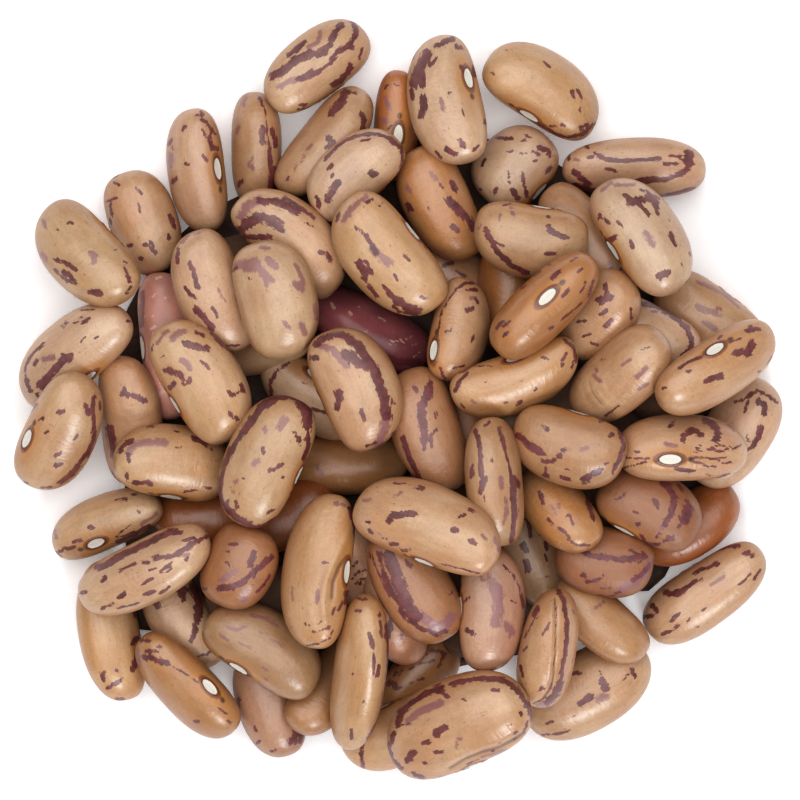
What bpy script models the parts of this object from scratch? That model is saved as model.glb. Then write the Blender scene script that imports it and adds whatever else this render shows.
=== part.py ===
# A loose heap of dried mottled beans lying on a bare flat surface, modelled as one solid.
# Every bean that shows from above is a piece of its own, fused where it rests on its neighbours,
# over a low flat-bottomed core that stands in for the hidden beans in the middle.
# Metres, +Z up, the flat underside at z = 0 and the middle of the heap at x = y = 0.

import bpy
import bmesh
import numpy as np

mm = 0.001

# Shape of a bean, as shares of its length and breadth
thick_over_broad = 0.79
end_bluntness = 0.80
usual_bend = 0.045
bend_centre = 0.4

# How beans rest on each other, in millimetres
floor_gap = 0.16
bite_share = 0.06
least_bite = 0.45
most_bite = 2.4

# Core under the beans, in millimetres
core_inset = 4.5
core_least_radius = 22.0
core_sectors = 32
core_rings = 5
core_sink = 5.6
core_edge_height = 1.4
core_smoothing = 9.0

# Low webs that tie the beans standing on the ground to the core, in millimetres
web_width = 2.6
web_under = 0.05
web_into_bean = 0.8
web_highest_bean = 3.0
web_overlap = 3.0

# Hidden beans on the ground under the middle, wherever the ground is free, in millimetres
hidden_reach = 29.0
hidden_spacing = 4.0
hidden_long = 15.0
hidden_broad = 8.6
hidden_lift = 0.5
hidden_turns = 6
hidden_turn_step = 30
hidden_sizes = (0.92, 1.05)
hidden_seed = 11

# Facets of one bean
facet_sides = 9
facet_rings = 6

# Height map of what lies there, in millimetres, and the tilts that a bean may take, in degrees
cell = 0.6
reach_of_map = 54.0
pitch_choices = (-24, -16, -8, 0, 8, 16, 24)
roll_choices = (-12, 0, 12)
tilt_cost = 0.035
probe_rings = 44
probe_sides = 60

# Clean-up distances, in metres
merge_distance = 0.00001

# Coat
coat_color = (0.58, 0.36, 0.19, 1.0)
coat_roughness = 0.42

# The beans that show: name, x, y, heading, long, broad, roll, bend, in millimetres and degrees.
# Heading is the direction of the long axis with the scar on its left. A positive roll turns
# the scar upwards, a negative one turns it down and out of sight. The beans at the foot and
# the lowest ones in the middle come first.
low_beans = (
    ("E4", 2.4, -33.1, 48, 12.0, 7.7, 30, usual_bend),
    ("B9", 13.9, 28.0, -135, 10.8, 9.6, 20, usual_bend),
    ("E3", -0.7, -40.1, 25, 13.0, 7.9, 10, usual_bend),
    ("D13", 22.6, -34.8, 30, 17.0, 9.8, 5, 0.04),
    ("D8", 34.8, -15.1, 33, 14.0, 7.9, -20, usual_bend),
    ("C17", 37.2, 9.4, -38, 15.6, 9.4, 0, usual_bend),
    ("C19", 40.4, -4.1, 58, 14.8, 8.9, -20, 0.03),
    ("B3", -0.5, 33.1, 86, 13.6, 7.2, 80, usual_bend),
    ("A4", -17.4, 30.2, 90, 14.2, 8.0, -75, usual_bend),
    ("A2", -31.0, 21.4, 110, 13.2, 8.6, -10, 0.03),
    ("E14", -34.8, -27.8, -80, 17.6, 8.2, -35, usual_bend),
    ("E12", -15.6, -36.4, -75, 14.2, 8.2, 0, 0.03),
    ("B6", 28.2, 28.0, 180, 17.6, 8.0, -40, 0.03),
    ("D9", 36.8, -23.3, 36, 17.0, 8.2, -20, 0.02),
    ("F8", -6.8, -7.4, 0, 16.2, 8.6, -40, usual_bend),
    ("C7", -3.6, 8.4, -28, 16.2, 8.9, -60, usual_bend),
    ("G1", 6.0, 15.4, -35, 13.8, 8.4, -30, usual_bend),
    ("C11", 12.4, 12.8, 85, 13.4, 7.9, -50, usual_bend),
    ("C9", -10.8, 0.5, -35, 14.2, 8.4, 50, usual_bend),
    ("F10", -16.8, 3.8, 15, 13.4, 7.9, -40, usual_bend),
    ("C5", -27.8, 6.6, 95, 18.0, 7.9, 10, usual_bend),
    ("F6", -32.6, -2.5, 95, 16.0, 8.4, -20, usual_bend),
    ("F11", -23.6, -13.8, 5, 13.2, 7.7, -30, usual_bend),
    ("E17", -26.3, -26.2, -58, 14.2, 7.9, -20, usual_bend),
    ("G2", -12.2, -13.4, 20, 13.8, 8.2, -20, usual_bend),
    ("E9", -4.3, -20.6, -60, 12.6, 7.2, 0, usual_bend),
    ("E8", 0.0, -26.6, -80, 14.4, 7.9, -30, usual_bend),
    ("G4", -8.9, -34.8, 55, 12.6, 7.4, 0, usual_bend),
    ("D10", 16.3, -18.2, -72, 15.0, 8.2, -30, usual_bend),
)
high_beans = (
    ("C15", 30.4, 7.7, -28, 12.0, 8.2, -20, usual_bend),
    ("B11", 22.8, 19.2, -48, 16.2, 8.2, -20, usual_bend),
    ("B2", -9.1, 31.0, 52, 16.0, 8.0, -50, usual_bend),
    ("A3", -24.4, 27.6, -82, 15.4, 8.4, 40, 0.05),
    ("F5", -39.1, 5.5, 220, 16.2, 8.8, 12, 0.05),
    ("F3", -35.3, -14.8, 202, 14.4, 7.9, 50, usual_bend),
    ("G3", 7.9, -3.8, 80, 13.2, 7.4, 0, usual_bend),
    ("B8", 4.9, 23.6, -64, 15.0, 8.6, -10, usual_bend),
    ("B7", -5.4, 27.2, 222, 13.6, 8.4, 0, 0.06),
    ("C14", 23.8, 10.1, 50, 11.8, 8.6, -10, usual_bend),
    ("D11", 24.2, -26.4, -42, 13.8, 7.8, -40, usual_bend),
    ("D7", 24.5, -19.2, -10, 12.4, 9.0, 0, usual_bend),
    ("D6", 30.0, -13.0, 152, 13.4, 9.0, 5, 0.06),
    ("D5", 19.2, -13.0, -52, 12.2, 8.0, -20, usual_bend),
    ("E6", 1.3, -22.2, -60, 15.6, 9.2, -5, 0.03),
    ("E5", 10.8, -25.0, 88, 15.2, 8.2, 5, usual_bend),
    ("E11", -16.3, -29.9, 148, 15.8, 9.0, 10, 0.06),
    ("E16", -19.4, -19.9, 65, 10.8, 9.2, -20, 0.03),
    ("E13", -25.7, -34.3, -46, 16.2, 8.6, 60, 0.04),
    ("E2", -4.9, -32.9, 82, 18.8, 8.2, -65, usual_bend),
    ("F9", 3.4, -3.6, -72, 15.6, 8.8, -20, usual_bend),
    ("F2", -27.4, -7.6, 172, 14.4, 9.4, 5, 0.04),
    ("C3", -22.4, 13.1, -69, 15.6, 8.8, -10, usual_bend),
    ("C2", -13.2, 19.1, 137, 16.4, 8.8, 0, 0.08),
    ("C16", 26.4, 2.9, 41, 14.4, 8.8, -20, 0.03),
    ("D3", 33.7, -5.9, 180, 15.8, 10.0, 65, usual_bend),
    ("B10", 15.7, 19.4, -8, 14.0, 9.2, 8, 0.08),
    ("C10", 7.0, 8.3, 78, 12.8, 8.2, 45, 0.08),
    ("B1", -10.1, 40.3, 217, 14.6, 8.2, -5, 0.03),
    ("B4", 5.8, 36.0, -80, 16.0, 9.2, 18, 0.07),
    ("B5", 17.2, 37.3, 147, 15.6, 9.4, 18, 0.06),
    ("B12", 29.0, 19.7, 123, 15.8, 9.4, 8, 0.05),
    ("A1", -37.7, 17.4, -46, 15.0, 9.2, 0, 0.06),
    ("F4", -40.9, -3.7, 66, 15.0, 9.2, 15, 0.04),
    ("C18", 37.8, 3.8, 31, 16.2, 9.0, 50, 0.03),
    ("D12", 17.8, -29.8, 80, 14.4, 9.0, -85, 0.04),
    ("E15", -30.6, -20.4, 26, 17.4, 8.6, -40, 0.04),
    ("E10", -9.6, -20.5, -97, 19.0, 9.2, 35, 0.06),
    ("C6", -1.4, 17.2, -50, 17.0, 9.8, 5, 0.06),
    ("F7", -23.9, 2.4, 122, 16.4, 9.6, 5, 0.05),
    ("C4", -15.1, 12.1, 104, 14.6, 9.9, -10, 0.05),
    ("C8", -5.3, 1.4, 112, 15.6, 9.8, 0, 0.07),
    ("F1", -16.0, -7.3, 246, 16.8, 9.8, 12, 0.04),
    ("C13", 13.8, 2.6, 21, 16.2, 8.6, 45, 0.11),
    ("C12", 17.3, 11.3, 44, 16.4, 9.4, 80, 0.04),
    ("D1", 20.2, -5.5, -18, 14.2, 9.4, 8, 0.05),
    ("D2", 11.4, -9.8, -84, 15.8, 8.4, -60, 0.04),
    ("E7", 3.5, -15.1, 158, 18.4, 9.9, 18, 0.06),
    ("E1", 7.0, -38.9, 204, 18.2, 11.4, 20, 0.03),
)


# A bean about its own middle, with its long axis on X, the scar side at +Y and thickness in Z
def bean_points(long, broad, bend, phi, theta, swell=1.0):
    """Points at the angles given from end to end (phi) and round the girth (theta)."""
    away = np.cos(phi)
    u = -np.sign(away) * np.abs(away) ** end_bluntness
    girth = np.sin(phi) ** end_bluntness * swell
    x = long / 2 * u + 0 * theta
    middle = bend * long * (u * u - bend_centre)
    y = middle + broad / 2 * girth * np.cos(theta)
    z = thick_over_broad * broad / 2 * girth * np.sin(theta)
    return np.stack([x, y, z], -1).reshape(-1, 3)


def turned(points, heading, pitch, roll):
    """The points rolled about the long axis, pitched nose up, then headed."""
    h, p, r = np.radians([heading, pitch, roll])
    about_z = np.array([[np.cos(h), -np.sin(h), 0], [np.sin(h), np.cos(h), 0], [0, 0, 1]])
    about_y = np.array([[np.cos(p), 0, -np.sin(p)], [0, 1, 0], [np.sin(p), 0, np.cos(p)]])
    about_x = np.array([[1, 0, 0], [0, np.cos(r), -np.sin(r)], [0, np.sin(r), np.cos(r)]])
    return points @ (about_z @ about_y @ about_x).T


def true_length(seen_long, broad, pitch):
    """Length of a pitched bean that looks seen_long from above."""
    level = np.cos(np.radians(pitch))
    upright = thick_over_broad * broad / seen_long * np.sin(np.radians(pitch))
    return seen_long / np.hypot(level, upright)


# A height map of what already lies there, and how one bean comes to lie on it
cells_across = int(2 * reach_of_map / cell)
top_map = np.zeros(cells_across * cells_across)
probe_phi = np.linspace(0, np.pi, probe_rings)[:, None]
probe_theta = np.linspace(0, 2 * np.pi, probe_sides, endpoint=False)[None, :]


def cells_under(points):
    """The number of the map cell under each point."""
    columns = np.floor((points[:, :2] + reach_of_map) / cell).astype(int)
    return columns[:, 1] * cells_across + columns[:, 0]


def set_down(x, y, heading, seen_long, broad, roll, bend, highest=reach_of_map):
    """Lay the bean in the tilt that lets it lie lowest, unless its underside stays too high."""
    best = None
    for pitch in pitch_choices:
        long = true_length(seen_long, broad, pitch)
        shape = bean_points(long, broad, bend, probe_phi, probe_theta)
        for extra in roll_choices:
            probe = turned(shape, heading, pitch, roll + extra) + (x, y, 0)
            below = cells_under(probe)
            clash = np.sort(top_map[below] - probe[:, 2])
            crowded = clash[-int(bite_share * len(clash))]
            height = max(min(crowded, clash[-1] - least_bite), clash[-1] - most_bite,
                         floor_gap - probe[:, 2].min())
            cost = height + tilt_cost * (abs(pitch) + abs(extra) / 2)
            if best is None or cost < best[0]:
                pose = (heading, pitch, roll + extra)
                best = (cost, probe + (0, 0, height), below, (x, y, height), pose, long)
    cost, probe, below, centre, pose, long = best
    lowest = probe[:, 2].min()
    if lowest > highest:
        return None
    np.maximum.at(top_map, below, probe[:, 2])
    return {"centre": centre, "pose": pose, "size": (long, broad, bend), "lowest": lowest}


def fill_the_ground():
    """Hidden beans on the free ground under the middle."""
    rng = np.random.default_rng(hidden_seed)
    steps = int(hidden_reach / hidden_spacing)
    for row in range(-steps, steps + 1):
        for column in range(-steps, steps + 1):
            x = hidden_spacing * column
            y = hidden_spacing * row
            size = rng.uniform(*hidden_sizes)
            heading = rng.uniform(0, hidden_turn_step)
            if np.hypot(x, y) > hidden_reach:
                continue
            for turn in range(hidden_turns):
                if set_down(x, y, heading + hidden_turn_step * turn, hidden_long * size,
                            hidden_broad * size, 0, usual_bend, hidden_lift):
                    break


laid = [set_down(*bean[1:]) for bean in low_beans]
fill_the_ground()
laid += [set_down(*bean[1:]) for bean in high_beans]


# Start from an empty scene
for thing in list(bpy.data.objects):
    bpy.data.objects.remove(thing, do_unlink=True)


def mesh_object(name, points, faces, holder):
    """A new object in a collection, from points in millimetres."""
    mesh = bpy.data.meshes.new(name)
    mesh.from_pydata([tuple(point) for point in np.array(points) * mm], [], faces)
    made = bpy.data.objects.new(name, mesh)
    holder.objects.link(made)
    return made


def ringed_faces(rings, sides):
    """Triangles between rings of points, closed by two more points at the ends."""
    faces = []
    first = rings * sides
    last = first + 1
    for side in range(sides):
        beside = (side + 1) % sides
        faces.append((first, beside, side))
        for near in range(0, (rings - 1) * sides, sides):
            far = near + sides
            faces.append((near + side, near + beside, far + beside))
            faces.append((near + side, far + beside, far + side))
        near = (rings - 1) * sides
        faces.append((near + side, near + beside, last))
    return faces


# The beans that show, with few sides
fused_things = bpy.data.collections.new("fused_things")
bpy.context.scene.collection.children.link(fused_things)
facet_phi = np.linspace(0, np.pi, facet_rings + 2)[1:-1, None]
facet_theta = np.linspace(0, 2 * np.pi, facet_sides, endpoint=False)[None, :]
facet_swell = 1 / np.sqrt(np.cos(np.pi / facet_sides))


def add_bean(number, bean):
    """One faceted bean where it lies."""
    long, broad, bend = bean["size"]
    body = bean_points(long, broad, bend, facet_phi, facet_theta, facet_swell)
    tip = bend * long * (1 - bend_centre)
    ends = np.array([[-long / 2, tip, 0], [long / 2, tip, 0]])
    points = turned(np.concatenate([body, ends]), *bean["pose"]) + bean["centre"]
    mesh_object("bean_%02d" % number, points, ringed_faces(facet_rings, facet_sides),
                fused_things)


for number, bean in enumerate(laid):
    add_bean(number, bean)


# The core, its upper side a little below the mean height of the beans over it
def mean_height(x, y):
    """Mean of the height map round a place."""
    centres = (np.arange(cells_across) + 0.5) * cell - reach_of_map
    grid_x, grid_y = np.meshgrid(centres, centres)
    near = np.hypot(grid_x - x, grid_y - y).ravel() < core_smoothing
    return top_map[near].mean()


def covered_reach(angle):
    """How far out from the middle the ground is covered without a break."""
    out = core_least_radius
    while top_map[cells_under(np.array([[out * np.cos(angle), out * np.sin(angle)]]))[0]] > 0:
        out += cell / 2
    return out


def core_outline(angles):
    """Radius of the core at each angle, under the beans all round and without spikes."""
    reaches = np.array([covered_reach(angle) for angle in angles])
    reaches = np.minimum(reaches, np.minimum(np.roll(reaches, 1), np.roll(reaches, -1)))
    reaches = (reaches + np.roll(reaches, 1) + np.roll(reaches, -1)) / 3
    return np.maximum(reaches - core_inset, core_least_radius)


core_angles = np.linspace(0, 2 * np.pi, core_sectors, endpoint=False)
core_radii = core_outline(core_angles)


def add_core():
    """A flat-bottomed mound, from its outline on the ground up to its middle."""
    points = [(radius * np.cos(angle), radius * np.sin(angle), 0)
              for angle, radius in zip(core_angles, core_radii)]
    for ring in range(core_rings, 0, -1):
        for angle, edge_radius in zip(core_angles, core_radii):
            radius = edge_radius * ring / core_rings
            x = radius * np.cos(angle)
            y = radius * np.sin(angle)
            rise = core_edge_height
            if ring < core_rings:
                rise = max(mean_height(x, y) - core_sink, core_edge_height)
            points.append((x, y, rise))
    points.append((0, 0, 0))
    points.append((0, 0, mean_height(0, 0) - core_sink))
    return mesh_object("bean_heap", points, ringed_faces(core_rings + 1, core_sectors),
                       bpy.context.scene.collection)


heap = add_core()


# A web from under each outer bean inwards to the core
def add_web(number, bean):
    """A low flat bar that runs into the bean's underside and into the core."""
    x, y, height = bean["centre"]
    angle = np.arctan2(y, x) % (2 * np.pi)
    outer = np.hypot(x, y)
    edge = np.interp(angle, np.append(core_angles, 2 * np.pi), np.append(core_radii, core_radii[0]))
    inner = edge - web_overlap
    if bean["lowest"] > web_highest_bean or outer < edge - web_overlap / 2:
        return
    outward = np.array([np.cos(angle), np.sin(angle)])
    aside = np.array([-outward[1], outward[0]]) * web_width / 2
    corners = (outward * inner - aside, outward * outer - aside, outward * outer + aside,
               outward * inner + aside)
    levels = (web_under, bean["lowest"] + web_into_bean)
    points = [(*corner, level) for level in levels for corner in corners]
    faces = [(3, 2, 1, 0), (4, 5, 6, 7)]
    faces += [(side, (side + 1) % 4, 4 + (side + 1) % 4, 4 + side) for side in range(4)]
    mesh_object("web_%02d" % number, points, faces, fused_things)


for number, bean in enumerate(laid):
    add_web(number, bean)

# Fuse the beans, the webs and the core
fuse = heap.modifiers.new("fuse", "BOOLEAN")
fuse.operation = "UNION"
fuse.operand_type = "COLLECTION"
fuse.collection = fused_things
fuse.solver = "EXACT"
bpy.context.view_layer.objects.active = heap
heap.select_set(True)
bpy.ops.object.modifier_apply(modifier=fuse.name)
for thing in list(fused_things.objects):
    bpy.data.objects.remove(thing, do_unlink=True)
bpy.data.collections.remove(fused_things)


# Fill the hollows that fusing sealed, and drop loose scraps: only the outer skin stays
def face_groups(mesh):
    """The groups of faces that hang together."""
    left = set(mesh.faces)
    groups = []
    while left:
        start = left.pop()
        group = [start]
        waiting = [start]
        while waiting:
            for edge in waiting.pop().edges:
                for face in left.intersection(edge.link_faces):
                    left.remove(face)
                    group.append(face)
                    waiting.append(face)
        groups.append(group)
    return groups


def volume_inside(group):
    """Signed volume inside a group of triangles."""
    total = 0.0
    for face in group:
        a, b, c = (vert.co for vert in face.verts)
        total += a.dot(b.cross(c)) / 6
    return total


skin = bmesh.new()
skin.from_mesh(heap.data)
bmesh.ops.remove_doubles(skin, verts=skin.verts[:], dist=merge_distance)
bmesh.ops.dissolve_degenerate(skin, edges=skin.edges[:], dist=merge_distance)
bmesh.ops.triangulate(skin, faces=skin.faces[:])
groups = sorted(face_groups(skin), key=volume_inside)
for group in groups[:-1]:
    bmesh.ops.delete(skin, geom=group, context="FACES")
bare_points = [vert for vert in skin.verts if not vert.link_faces]
bmesh.ops.delete(skin, geom=bare_points, context="VERTS")

# Move the middle of the heap's box to x = y = 0
places = np.array([vert.co[:] for vert in skin.verts])
shift_x, shift_y, unused = -(places.min(axis=0) + places.max(axis=0)) / 2
bmesh.ops.translate(skin, verts=skin.verts[:], vec=(shift_x, shift_y, 0))
skin.to_mesh(heap.data)
skin.free()
print("parts joined:", len(groups), "triangles:", len(heap.data.polygons),
      "shift in mm:", round(shift_x / mm, 3), round(shift_y / mm, 3))

# Bean coat
coat = bpy.data.materials.new("bean_coat")
coat.use_nodes = True
shader = coat.node_tree.nodes["Principled BSDF"]
shader.inputs["Base Color"].default_value = coat_color
shader.inputs["Roughness"].default_value = coat_roughness
shader.inputs["Metallic"].default_value = 0.0
heap.data.materials.append(coat)
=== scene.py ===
import bpy
import numpy as np
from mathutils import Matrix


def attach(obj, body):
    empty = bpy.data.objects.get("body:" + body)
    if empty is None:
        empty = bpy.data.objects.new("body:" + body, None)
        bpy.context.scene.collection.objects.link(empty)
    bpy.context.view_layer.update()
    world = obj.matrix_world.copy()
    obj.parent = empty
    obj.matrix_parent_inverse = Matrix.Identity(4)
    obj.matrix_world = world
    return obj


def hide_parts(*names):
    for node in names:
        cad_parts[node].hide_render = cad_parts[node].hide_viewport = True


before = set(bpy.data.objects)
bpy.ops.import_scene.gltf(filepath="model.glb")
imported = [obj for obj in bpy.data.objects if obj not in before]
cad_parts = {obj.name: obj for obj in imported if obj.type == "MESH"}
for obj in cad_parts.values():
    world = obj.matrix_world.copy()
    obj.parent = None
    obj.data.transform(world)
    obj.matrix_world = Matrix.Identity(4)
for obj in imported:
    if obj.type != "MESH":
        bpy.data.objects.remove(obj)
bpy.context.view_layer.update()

mm = 0.001

# the beans, lowest first: name, x, y, heading, long, broad, roll, bend, kind, in mm and degrees
# heading is the long axis with the scar on its left, and a positive roll turns the scar up
usualBend = 0.045
lowBeans = (
    ("E4", 2.4, -33.1, 48, 12.0, 7.7, 30, usualBend, "speckled"),
    ("B9", 13.9, 28.0, -135, 10.8, 9.6, 20, usualBend, "streaked"),
    ("E3", -0.7, -40.1, 25, 13.0, 7.9, 10, usualBend, "plain"),
    ("D13", 22.6, -34.8, 30, 17.0, 9.8, 5, 0.04, "flecked"),
    ("D8", 34.8, -15.1, 33, 14.0, 7.9, -20, usualBend, "russet"),
    ("C17", 37.2, 9.4, -38, 15.6, 9.4, 0, usualBend, "faded"),
    ("C19", 40.4, -4.1, 58, 14.8, 8.9, -20, 0.03, "flecked"),
    ("B3", -0.5, 33.1, 86, 13.6, 7.2, 80, usualBend, "russet"),
    ("A4", -17.4, 30.2, 90, 14.2, 8.0, -75, usualBend, "flecked"),
    ("A2", -31.0, 21.4, 110, 13.2, 8.6, -10, 0.03, "flecked"),
    ("E14", -34.8, -27.8, -80, 17.6, 8.2, -35, usualBend, "plain"),
    ("E12", -15.6, -36.4, -75, 14.2, 8.2, 0, 0.03, "pink"),
    ("B6", 28.2, 28.0, 180, 17.6, 8.0, -40, 0.03, "streaked"),
    ("D9", 36.8, -23.3, 36, 17.0, 8.2, -20, 0.02, "streaked"),
    ("F8", -6.8, -7.4, 0, 16.2, 8.6, -40, usualBend, "ochre"),
    ("C7", -3.6, 8.4, -28, 16.2, 8.9, -60, usualBend, "wine"),
    ("G1", 6.0, 15.4, -35, 13.8, 8.4, -30, usualBend, "streaked"),
    ("C11", 12.4, 12.8, 85, 13.4, 7.9, -50, usualBend, "ochre"),
    ("C9", -10.8, 0.5, -35, 14.2, 8.4, 50, usualBend, "streaked"),
    ("F10", -16.8, 3.8, 15, 13.4, 7.9, -40, usualBend, "plain"),
    ("C5", -27.8, 6.6, 95, 18.0, 7.9, 10, usualBend, "mauve"),
    ("F6", -32.6, -2.5, 95, 16.0, 8.4, -20, usualBend, "streaked"),
    ("F11", -23.6, -13.8, 5, 13.2, 7.7, -30, usualBend, "russet"),
    ("E17", -26.3, -26.2, -58, 14.2, 7.9, -20, usualBend, "streaked"),
    ("G2", -12.2, -13.4, 20, 13.8, 8.2, -20, usualBend, "russet"),
    ("E9", -4.3, -20.6, -60, 12.6, 7.2, 0, usualBend, "whitish"),
    ("E8", 0.0, -26.6, -80, 14.4, 7.9, -30, usualBend, "whitish"),
    ("G4", -8.9, -34.8, 55, 12.6, 7.4, 0, usualBend, "plain"),
    ("D10", 16.3, -18.2, -72, 15.0, 8.2, -30, usualBend, "flecked"),
)
highBeans = (
    ("C15", 30.4, 7.7, -28, 12.0, 8.2, -20, usualBend, "flecked"),
    ("B11", 22.8, 19.2, -48, 16.2, 8.2, -20, usualBend, "flecked"),
    ("B2", -9.1, 31.0, 52, 16.0, 8.0, -50, usualBend, "flecked"),
    ("A3", -24.4, 27.6, -82, 15.4, 8.4, 40, 0.05, "flecked"),
    ("F5", -39.1, 5.5, 220, 16.2, 8.8, 12, 0.05, "flecked"),
    ("F3", -35.3, -14.8, 202, 14.4, 7.9, 50, usualBend, "flecked"),
    ("G3", 7.9, -3.8, 80, 13.2, 7.4, 0, usualBend, "plain"),
    ("B8", 4.9, 23.6, -64, 15.0, 8.6, -10, usualBend, "ochre"),
    ("B7", -5.4, 27.2, 222, 13.6, 8.4, 0, 0.06, "streaked"),
    ("C14", 23.8, 10.1, 50, 11.8, 8.6, -10, usualBend, "flecked"),
    ("D11", 24.2, -26.4, -42, 13.8, 7.8, -40, usualBend, "plain"),
    ("D7", 24.5, -19.2, -10, 12.4, 9.0, 0, usualBend, "streaked"),
    ("D6", 30.0, -13.0, 152, 13.4, 9.0, 5, 0.06, "streaked"),
    ("D5", 19.2, -13.0, -52, 12.2, 8.0, -20, usualBend, "ochre"),
    ("E6", 1.3, -22.2, -60, 15.6, 9.2, -5, 0.03, "streaked"),
    ("E5", 10.8, -25.0, 88, 15.2, 8.2, 5, usualBend, "pink"),
    ("E11", -16.3, -29.9, 148, 15.8, 9.0, 10, 0.06, "smoky"),
    ("E16", -19.4, -19.9, 65, 10.8, 9.2, -20, 0.03, "faded"),
    ("E13", -25.7, -34.3, -46, 16.2, 8.6, 60, 0.04, "plain"),
    ("E2", -4.9, -32.9, 82, 18.8, 8.2, -65, usualBend, "plain"),
    ("F9", 3.4, -3.6, -72, 15.6, 8.8, -20, usualBend, "streaked"),
    ("F2", -27.4, -7.6, 172, 14.4, 9.4, 5, 0.04, "flecked"),
    ("C3", -22.4, 13.1, -69, 15.6, 8.8, -10, usualBend, "flecked"),
    ("C2", -13.2, 19.1, 137, 16.4, 8.8, 0, 0.08, "streaked"),
    ("C16", 26.4, 2.9, 41, 14.4, 8.8, -20, 0.03, "faded"),
    ("D3", 33.7, -5.9, 180, 15.8, 10.0, 65, usualBend, "flecked"),
    ("B10", 15.7, 19.4, -8, 14.0, 9.2, 8, 0.08, "flecked"),
    ("C10", 7.0, 8.3, 78, 12.8, 8.2, 45, 0.08, "flecked"),
    ("B1", -10.1, 40.3, 217, 14.6, 8.2, -5, 0.03, "streaked"),
    ("B4", 5.8, 36.0, -80, 16.0, 9.2, 18, 0.07, "streaked"),
    ("B5", 17.2, 37.3, 147, 15.6, 9.4, 18, 0.06, "plain"),
    ("B12", 29.0, 19.7, 123, 15.8, 9.4, 8, 0.05, "flecked"),
    ("A1", -37.7, 17.4, -46, 15.0, 9.2, 0, 0.06, "flecked"),
    ("F4", -40.9, -3.7, 66, 15.0, 9.2, 15, 0.04, "flecked"),
    ("C18", 37.8, 3.8, 31, 16.2, 9.0, 50, 0.03, "plain"),
    ("D12", 17.8, -29.8, 80, 14.4, 9.0, -85, 0.04, "streaked"),
    ("E15", -30.6, -20.4, 26, 17.4, 8.6, -40, 0.04, "streaked"),
    ("E10", -9.6, -20.5, -97, 19.0, 9.2, 35, 0.06, "plain"),
    ("C6", -1.4, 17.2, -50, 17.0, 9.8, 5, 0.06, "flecked"),
    ("F7", -23.9, 2.4, 122, 16.4, 9.6, 5, 0.05, "flecked"),
    ("C4", -15.1, 12.1, 104, 14.6, 9.9, -10, 0.05, "faded"),
    ("C8", -5.3, 1.4, 112, 15.6, 9.8, 0, 0.07, "streaked"),
    ("F1", -16.0, -7.3, 246, 16.8, 9.8, 12, 0.04, "flecked"),
    ("C13", 13.8, 2.6, 21, 16.2, 8.6, 45, 0.11, "plain"),
    ("C12", 17.3, 11.3, 44, 16.4, 9.4, 80, 0.04, "ochre"),
    ("D1", 20.2, -5.5, -18, 14.2, 9.4, 8, 0.05, "flecked"),
    ("D2", 11.4, -9.8, -84, 15.8, 8.4, -60, 0.04, "streaked"),
    ("E7", 3.5, -15.1, 158, 18.4, 9.9, 18, 0.06, "flecked"),
    ("E1", 7.0, -38.9, 204, 18.2, 11.4, 20, 0.03, "flecked"),
)

# one bean: its shape, its net of points and its scar, in mm where it is a length
beanForm = {
    "thickOverBroad": 0.79, "endBluntness": 0.80, "bendCentre": 0.4,
    "rings": 66, "sides": 64, "hiddenRings": 22, "hiddenSides": 20,
    "ringCrowd": (0.22, 1.4), "scarCrowd": (0.28, 1.8), "topCrowd": (1.25, 1.3),
    "unevenness": 0.11, "unevenScale": 2.6, "inset": 0.16, "taper": 0.05,
    "scarHalfLong": 1.3, "scarHalfWide": 0.62, "scarSpread": (0.88, 1.12), "hiddenScarTurn": -90.0,
    "scarSink": 0.10, "sinkReach": 2.6, "ringRise": 0.13, "ringAt": 1.15, "ringWidth": 0.22,
    "grooveDepth": 0.03, "grooveWidth": 0.10, "grooveReach": 0.8,
    "lensRise": 0.10, "lensAt": 1.75, "lensHalf": (0.42, 0.32), "farSide": 4.0,
}
# how beans are lowered on to each other, and the map that keeps what lies there
layRules = {
    "floorGap": 0.16, "biteShare": 0.06, "leastBite": 0.45, "mostBite": 2.4,
    "cell": 0.6, "reach": 54.0, "pitches": (-24, -16, -8, 0, 8, 16, 24), "rolls": (-12, 0, 12),
    "tiltCost": 0.035, "probeRings": 44, "probeSides": 60, "facetSides": 9, "facetRings": 6,
    "firstSeed": 100,
}
# beans under the others, which close the gaps
hiddenRules = {
    "reach": 29.0, "spacing": 4.0, "long": 15.0, "broad": 8.6, "lift": 0.5,
    "turns": 6, "turnStep": 30, "sizes": (0.92, 1.05), "seed": 11,
}


def beanPoints(long, broad, bend, phi, theta, swell=1.0):
    away = np.cos(phi)
    u = -np.sign(away) * np.abs(away) ** beanForm["endBluntness"]
    girth = np.sin(phi) ** beanForm["endBluntness"] * swell
    x = long / 2 * u + 0 * theta
    middle = bend * long * (u * u - beanForm["bendCentre"])
    y = middle + broad / 2 * girth * np.cos(theta)
    z = beanForm["thickOverBroad"] * broad / 2 * girth * np.sin(theta)
    return np.stack([x, y, z], -1).reshape(-1, 3)


def turned(points, heading, pitch, roll):
    h, p, r = np.radians([heading, pitch, roll])
    aboutZ = np.array([[np.cos(h), -np.sin(h), 0], [np.sin(h), np.cos(h), 0], [0, 0, 1]])
    aboutY = np.array([[np.cos(p), 0, -np.sin(p)], [0, 1, 0], [np.sin(p), 0, np.cos(p)]])
    aboutX = np.array([[1, 0, 0], [0, np.cos(r), -np.sin(r)], [0, np.sin(r), np.cos(r)]])
    return points @ (aboutZ @ aboutY @ aboutX).T


def trueLength(seenLong, broad, pitch):
    level = np.cos(np.radians(pitch))
    upright = beanForm["thickOverBroad"] * broad / seenLong * np.sin(np.radians(pitch))
    return seenLong / np.hypot(level, upright)


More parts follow.
